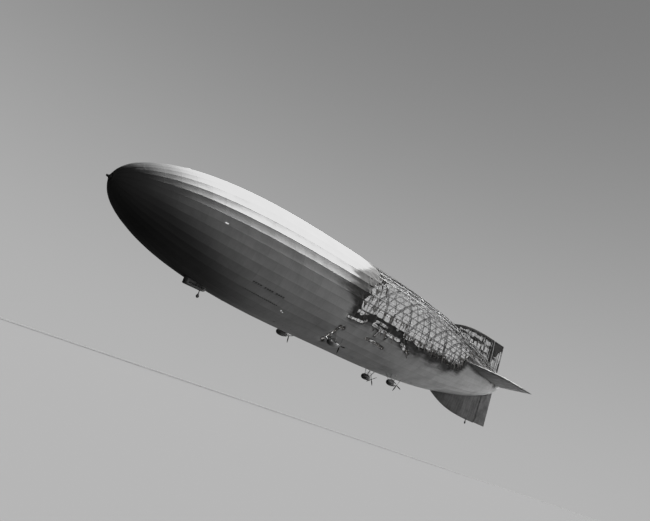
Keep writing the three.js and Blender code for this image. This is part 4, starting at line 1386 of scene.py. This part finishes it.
def engine_car(name):
    """Engine car: a turned shell open at both ends, radiator shutters, louvres, exhaust stubs, portholes,
    struts of flattened section with crossed wires, and a ladder up to the hull."""
    place = car_place(name)
    shape = Shape()

    def at(d, side, up):
        return place(xyz(d, side, up))

    def on_shell(d, side, degrees, out):
        """Place on the shell's flank, degrees above its middle and out from its surface."""
        angle, r = math.radians(degrees), car_radius(np.asarray(d)) + out
        return at(d, side * r * math.cos(angle), r * math.sin(angle))

    d = np.linspace(0.05, 6.4, 34)
    outer = np.stack([d, car_radius(d)], 1)
    inner = (outer - [0, CAR_WALL])[::-1]
    lathe(shape, [(0.0, 0.56), *outer, (6.45, 0.37), (6.4, 0.32), *inner, (0.0, 0.52)], 48, place)
    lathe(shape, [(0.42, 0.66), (0.42, 0.05), (0.6, 0.05), (0.6, 0.66)], 32, place, 1)
    across = np.linspace(-0.48, 0.48, 9)
    tall = np.sqrt(0.56 ** 2 - across ** 2)
    bars(shape, at(0.22, across, -tall), at(0.22, across, tall), 0.09, 0.03, up=(0.8, 0.6, 0))
    for band in (1.05, 3.35, 5.2):
        fore, aft = band - 0.05, band + 0.05
        low, high = car_radius(band) - 0.02, car_radius(band) + 0.02
        lathe(shape, [(fore, low), (fore, high), (aft, high), (aft, low)], 48, place)
    louvres = np.linspace(1.7, 3.1, 9)
    stubs = np.linspace(1.8, 3.2, 6)
    for side in (-1, 1):
        for turn in (-25, 12):
            ends = [on_shell(louvres, side, turn + spread, 0.015) for spread in (-9, 9)]
            bars(shape, *ends, 0.1, 0.05, section=TRIANGLE)
        tips = on_shell(stubs, side, 48, 0.28) + FORE * 0.25
        bars(shape, on_shell(stubs, side, 48, -0.1), tips, 0.13, section=OCTAGON, material=1)
        for porthole in (3.75, 4.55):
            r = float(car_radius(porthole))
            for width, sunk, proud, material in ((0.46, 0.06, 0.03, 0), (0.34, 0.05, 0.04, 2)):
                ends = at(porthole, side * np.array([r - sunk, r + proud]), 0.1)
                polyline(shape, ends, width, section=OCTAGON, up=FORE, material=material)
    reach = CAR_OUT + 0.3
    low = at(STRUTS[:, 0], STRUTS[:, 2], 0.9)
    full = at(STRUTS[:, 1], STRUTS[:, 3], CAR_OUT + 0.6)
    high = low + (full - low) * (reach - 0.9) / (CAR_OUT - 0.3)
    bars(shape, low, high, 0.15, 0.34, up=FORE, section=OCTAGON)
    for a, b in ((0, 2), (2, 0), (1, 3), (3, 1), (0, 1), (1, 0), (2, 3), (3, 2)):
        bars(shape, low[a], high[b], WIRE, section=TRIANGLE)
    for side in (-LADDER_HALF, LADDER_HALF):
        polyline(shape, at(LADDER_AT, side, [1.2, reach]), 0.06, section=OCTAGON)
    rungs = np.arange(1.55, reach - 0.1, 0.34)
    ends = [at(LADDER_AT, side, rungs) for side in (-LADDER_HALF, LADDER_HALF)]
    bars(shape, *ends, 0.045, section=TRIANGLE)
    node_name = "engine_car_" + name
    materials = [CAR_METAL, ENGINE_IRON, DARK_GLASS]
    shape.build(node_name + "_shell", "root", "car_metal", materials, [node_name], sharp=35.0)
    dress("engine_" + name, ENGINE_IRON)


def propeller(name):
    """Propeller: four twisted blades with a rounded front and a thin back edge, on a turned spinner."""
    place = car_place(name)
    shape = Shape()
    share = np.concatenate([np.linspace(0.04, 0.95, 15), [0.98, 1.0]])[:, None]
    chord = smooth(BLADE, 1, share) * np.where(share > 0.97, np.sqrt(1.02 - share) * 4.2, 1)
    pitch = np.radians(smooth(BLADE, 3, share))
    t = np.arange(16) * math.pi / 8
    c = (0.5 * np.cos(t) - 0.06 * np.sin(t) ** 2) * chord
    w = 0.5 * np.sin(t) * (1 + 0.45 * np.cos(t)) * smooth(BLADE, 2, share)
    forward = -c * np.sin(pitch) + w * np.cos(pitch)
    sideways = c * np.cos(pitch) + w * np.sin(pitch)
    height = share * PROP_RADIUS
    for k in range(4):
        angle = math.pi / 4 + k * math.pi / 2
        y = sideways * math.cos(angle) - height * math.sin(angle)
        z = sideways * math.sin(angle) + height * math.cos(angle)
        loft(shape, place(xyz(PROP_PLANE - forward, y, z)))
    spinner = [(6.72, 0.3), (6.7, 0.34), (6.85, 0.35), (7.1, 0.33), (7.3, 0.26), (7.45, 0.14), (7.54, 0.03)]
    lathe(shape, spinner, 32, place, 1, closed=False)
    lathe(shape, [(4.3, 0.12), (6.75, 0.12)], 20, place, 1, closed=False)
    body = "propeller_" + name
    shape.build(body + "_carved", body, "propeller", [BLADE_WOOD, CAR_METAL], [body], sharp=40.0)


# Control car, windows, vents and hatches

CABIN_FRONT, CABIN_BACK, CABIN_HALF = 37.0, 46.0, 1.25
CABIN_FLOOR = -19.99
WINDOW_LOW, WINDOW_HIGH = -19.5, -18.95
STRIP_AT, HANDRAIL_AT = -19.85, -19.68
WINDOW_PITCH = 1.25
HELM_AT, HELM_RADIUS = -19.35, 0.33
TABLE_TOP = -19.55


def cabin_loop(z, grown):
    """Outline of the control car at a height: straight sides, a round front and a blunt back."""
    half = CABIN_HALF + grown
    t = np.linspace(math.pi / 2, 3 * math.pi / 2, 13)
    nose = xyz(CABIN_FRONT + CABIN_HALF + half * np.cos(t), half * np.sin(t), z)
    tail = np.linspace(-1, 1, 9)
    back = xyz(CABIN_BACK + grown - 1.1 * np.abs(tail) ** 3, half * np.sign(tail) * np.abs(tail) ** 0.8, z)
    return np.concatenate([nose, back])


def control_car():
    """Trim of the control car: rails round it, bars between its windows, rubbing strip, handrail and helm."""
    shape = Shape()
    for z, width in ((WINDOW_HIGH + 0.06, 0.09), (WINDOW_LOW - 0.06, 0.09), (STRIP_AT, 0.12)):
        hoop(shape, cabin_loop(z, 0.02 if z == STRIP_AT else 0.0), width, 0.1, up=UP)
    polyline(shape, cabin_loop(HANDRAIL_AT, 0.12)[11:], 0.05, up=UP, section=OCTAGON)
    first = (CABIN_FRONT + CABIN_BACK) / 2 - 2.5 * WINDOW_PITCH
    tall = UP * (WINDOW_HIGH - WINDOW_LOW)
    for i in range(6):
        for side in (-1, 1):
            at = np.array([first + i * WINDOW_PITCH, side * (CABIN_HALF + 0.01), WINDOW_LOW])
            bars(shape, at, at + tall, 0.14, 0.06, up=ACROSS)
            if i < 5:
                half = at + FORE * 0.62
                bars(shape, half, half + tall, 0.05, 0.04, up=ACROSS)
    t = np.linspace(0, 2 * math.pi, 19)
    for s, y in ((38.4, 0.0), (39.8, 0.8)):
        wheel = xyz(s, y + HELM_RADIUS * np.cos(t), HELM_AT + HELM_RADIUS * np.sin(t))
        polyline(shape, wheel, 0.05, up=FORE, section=OCTAGON)
        column = xyz(s, y, [CABIN_FLOOR, HELM_AT + HELM_RADIUS])
        spoke = xyz(s, [y - HELM_RADIUS, y + HELM_RADIUS], HELM_AT)
        polyline(shape, column, 0.08, up=FORE, section=OCTAGON)
        polyline(shape, spoke, 0.04, up=FORE, section=OCTAGON)
    bars(shape, [41.0, 0.0, TABLE_TOP], [43.4, 0.0, TABLE_TOP], 1.1, 0.06, up=UP)
    legs = [41.2, 43.2]
    bars(shape, xyz(legs, 0, CABIN_FLOOR), xyz(legs, 0, TABLE_TOP), 0.12, up=FORE)
    shape.build("control_car_trim", "root", "car_metal", [CAR_METAL], sharp=35.0)
    dress("control_car", CAR_METAL)
    dress("control_car_glass", CLEAR_GLASS)


def plate(shape, s, turn, length, girth, deep, proud=0.0, material=0):
    """Flat plate on the cover: length along the ship, girth round it, standing proud."""
    middle = hull_point(s, turn, -proud)
    half = FORE * length / 2
    bars(shape, middle - half, middle + half, girth, deep, material=material)


def border(shape, s, turn, length, girth, width, deep, proud=0.0, longer=0.0):
    """Four strips round a window or hatch."""
    up = math.degrees(girth / 2 / float(hull_radius(s)))
    for side in (-1, 1):
        plate(shape, s, turn + side * up, length + longer, width, deep, proud)
        plate(shape, s + side * length / 2, turn, width, girth, deep, proud)


def hood(shape, s, turn):
    """Hood of a gas shaft: a half ellipse across, 1.1 by 0.34 m, that shrinks to its ends as another does."""
    t = np.linspace(0, math.pi, 9)
    along = np.linspace(-1, 1, 11)[:, None]
    grow = np.sqrt(np.maximum(1 - along ** 2, 0.02))
    angle = turn + np.degrees(0.55 * grow * np.cos(t) / float(hull_radius(s)))
    loft(shape, on_hull(s + along * 1.3, angle, 0.34 * grow * np.sin(t) - 0.14))


def hull_fittings():
    """Passenger windows, hatches, keel windows, glowing panes and the hoods of the gas shafts along the top.
    The long strip on the flank glows as painted light.
    """
    shape = Shape()

    def windows(places, turn, length, girth):
        """Dark panes in raised frames, the same on both sides."""
        for s in places:
            for side in (-1, 1):
                plate(shape, s, side * turn, length, girth, 0.06, material=1)
                border(shape, s, side * turn, length, girth, 0.08, 0.1, 0.02, 0.1)

    windows([53.4 + i * 1.08 for i in range(14) if i not in (4, 9)], 51.5, 0.86, 0.8)
    windows([53.2 + i * 0.98 for i in range(16)], 40.0, 0.5, 0.42)
    windows((76.0, 80.5, 85.0, 118.0, 122.0, 160.0, 165.0), 14.0, 0.6, 0.4)
    # Glowing panes: the long strip 34.5 m aft on the flank glows as a painted highlight.
    for s, turn, length, girth, deep in ((34.5, 91.5, 2.2, 0.36, 0.06), (71.6, 36.2, 0.45, 0.5, 0.08),
                                         (72.7, 35.2, 0.35, 0.3, 0.08)):
        for side in (-1, 1):
            plate(shape, s, side * turn, length, girth, deep, material=2)
    for s, turn, length, girth in ((57.5, -8.0, 2.6, 1.8), (78.0, -8.0, 3.2, 2.2), (92.0, 8.0, 3.0, 2.0),
                                   (137.0, 8.0, 3.2, 2.2), (172.0, 8.0, 2.4, 1.8)):
        border(shape, s, turn, length, girth, 0.1, 0.06)
    for s in MAIN_RINGS[1:7]:
        for turn in (173.5, -173.5):
            hood(shape, s, turn)
    shape.build("hull_fittings", "root", "car_metal", [FRAME_PAINT, DARK_GLASS, GLOWING_GLASS], sharp=35.0)


# Landing wheels

TYRE = [
    (-0.11, 0.34), (-0.17, 0.38), (-0.195, 0.46), (-0.18, 0.54), (-0.13, 0.595), (-0.09, 0.61), (-0.075, 0.6),
    (-0.045, 0.605), (-0.03, 0.62),
]
RIM = [(0.12, 0.37), (0.15, 0.39), (0.15, 0.35), (0.06, 0.3), (0.04, 0.14), (0.14, 0.12), (0.14, 0.06)]


def landing_wheel(name):
    """Tyre with a round tread cut by grooves, on a dished rim with a hub."""
    body = "landing_wheel_" + name
    centre = joint_place(body + "_spin")

    def place(local):
        return centre + local[..., [2, 0, 1]]

    shape = Shape()
    for half, sides, material in ((TYRE, 48, 0), (RIM, 40, 1)):
        profile = half + [(-along, radius) for along, radius in reversed(half)]
        lathe(shape, profile, sides, place, material)
    lathe(shape, [(-0.33, 0.08), (0.33, 0.08)], 20, place, 1, closed=False)
    shape.build(body + "_tyred", body, "tyre", [TYRE_RUBBER, CAR_METAL], [body], sharp=40.0)
    dress("landing_leg_" + name, CAR_METAL)
    dress("wheel_fork_" + name, CAR_METAL)


end_cap("bow_cap", 0.3, 6.8 - SEAM, 15)
end_cap("tail_cone", 244.1, 240.3 + SEAM, 9)
mooring_spindle()
gas_cell()
walkways()
loose_girders()
tatters()
burnt_fin()
burnt_rudder()
for fin, surface, turn in FINS:
    fin_surface(fin, turn)
    control_surface(surface, turn)
for name in ("forward_port", "forward_starboard", "aft_port", "aft_starboard"):
    engine_car(name)
    propeller(name)
control_car()
hull_fittings()
for name in ("forward", "aft"):
    landing_wheel(name)


# Camera, light and floor

LENS = 35.45
CAMERA_AT = (73.549, 187.4082, -49.7265)
CAMERA_TURN = ((-0.65323888, 0.68957538, 0.31267358), (-0.39107874, 0.04631679, -0.91919104),
               (-0.64833355, -0.72273132, 0.23942234))
FLOOR_DROP = 0.05
FLOOR_HALF = 150.0
AMBIENT = 0.024
WHITE = 4.0
KNEE = 7.0
PALEST = 0.74


def place_camera():
    """Camera at the photograph's viewpoint, its rows right, down and forward."""
    data = bpy.data.cameras.new("camera")
    data.lens = LENS
    data.sensor_width = 36.0
    data.clip_end = 2000.0
    camera = bpy.data.objects.new("camera", data)
    right, down, forward = np.array(CAMERA_TURN)
    place = Matrix(np.column_stack([right, -down, -forward]).tolist()).to_4x4()
    x, y, z = CAMERA_AT
    place.translation = ((BUOYANCY + x) * M, y * M, z * M)
    camera.matrix_world = place
    bpy.context.scene.collection.objects.link(camera)
    bpy.context.scene.camera = camera


def camera_ray(tree):
    """1 where the camera looks, 0 for the rays of light."""
    return node(tree, "LightPath", {}, "Is Camera Ray")


def place_world():
    """Backdrop: pale at the horizon and mid grey overhead where the camera looks, and a faint even light."""
    world = bpy.data.worlds.new("studio")
    world.use_nodes = True
    tree = world.node_tree
    background = tree.nodes["Background"]
    background.inputs["Color"].default_value = (1.0, 1.0, 1.0, 1.0)
    way = node(tree, "SeparateXYZ", {0: node(tree, "TexCoord", {}, "Generated")}, "Z")
    more = minus(tree, mapped(tree, way, -0.05, 0.75, 0.47, 0.19), AMBIENT)
    strength = plus(tree, times(tree, camera_ray(tree), more), AMBIENT)
    feed(tree, background.inputs["Strength"], strength)
    bpy.context.scene.world = world


def place_floor():
    """Floor a little under the camera, pale where the camera looks, that casts no shadow and no shine."""
    height = CAMERA_AT[2] * M - FLOOR_DROP
    mesh = bpy.data.meshes.new("studio_floor")
    corners = [(x * FLOOR_HALF, y * FLOOR_HALF, height) for x, y in ((-1, -1), (1, -1), (1, 1), (-1, 1))]
    mesh.from_pydata(corners, [], [(0, 1, 2, 3)])
    floor = bpy.data.objects.new("studio_floor", mesh)
    floor.visible_shadow = False
    material, tree, shader = new_material("studio_floor")
    colour = layered(tree, grey(0.01), (camera_ray(tree), 1, grey(0.13)))
    shade(tree, shader, colour, 1.0, Specular_IOR_Level=0.0)
    mesh.materials.append(material)
    bpy.context.scene.collection.objects.link(floor)


def place_light(name, energy, soft, heading, height):
    """Distant light of a soft angle, its heading from astern towards port, its height above the horizon."""
    data = bpy.data.lights.new(name, "SUN")
    data.energy = energy
    data.angle = math.radians(soft)
    light = bpy.data.objects.new(name, data)
    turn = Matrix.Rotation(math.radians(180 - heading), 4, "Z")
    light.matrix_world = turn @ Matrix.Rotation(math.radians(90 - height), 4, "Y")
    bpy.context.scene.collection.objects.link(light)


def place_tones():
    """Tones of the render: as they are up to light grey, where a soft knee holds them below white."""
    settings = bpy.context.scene.view_settings
    settings.view_transform = "Standard"
    settings.use_curve_mapping = True
    mapping = settings.curve_mapping
    mapping.white_level = (WHITE, WHITE, WHITE)
    curve = mapping.curves[3]
    light = np.array([0, 0.1, 0.25, 0.4, 0.5, 0.6, 0.7, 0.8, 0.95, 1.2, 1.7, WHITE])
    tone = -np.log(np.exp(-KNEE * light) + math.exp(-KNEE * PALEST)) / KNEE
    tone = np.minimum(tone - tone[0], PALEST) + 0.012 * light
    curve.points[0].location = (0, 0)
    curve.points[1].location = (1, tone[-1])
    for x, y in zip(light[1:-1], tone[1:-1]):
        curve.points.new(x / WHITE, y)
    mapping.update()


place_camera()
place_world()
place_floor()
place_light("key", 14.0, 18, -12, 52)
place_light("fill", 3.4, 60, -4, 0)
place_light("side", 0.4, 40, 80, 30)
place_tones()
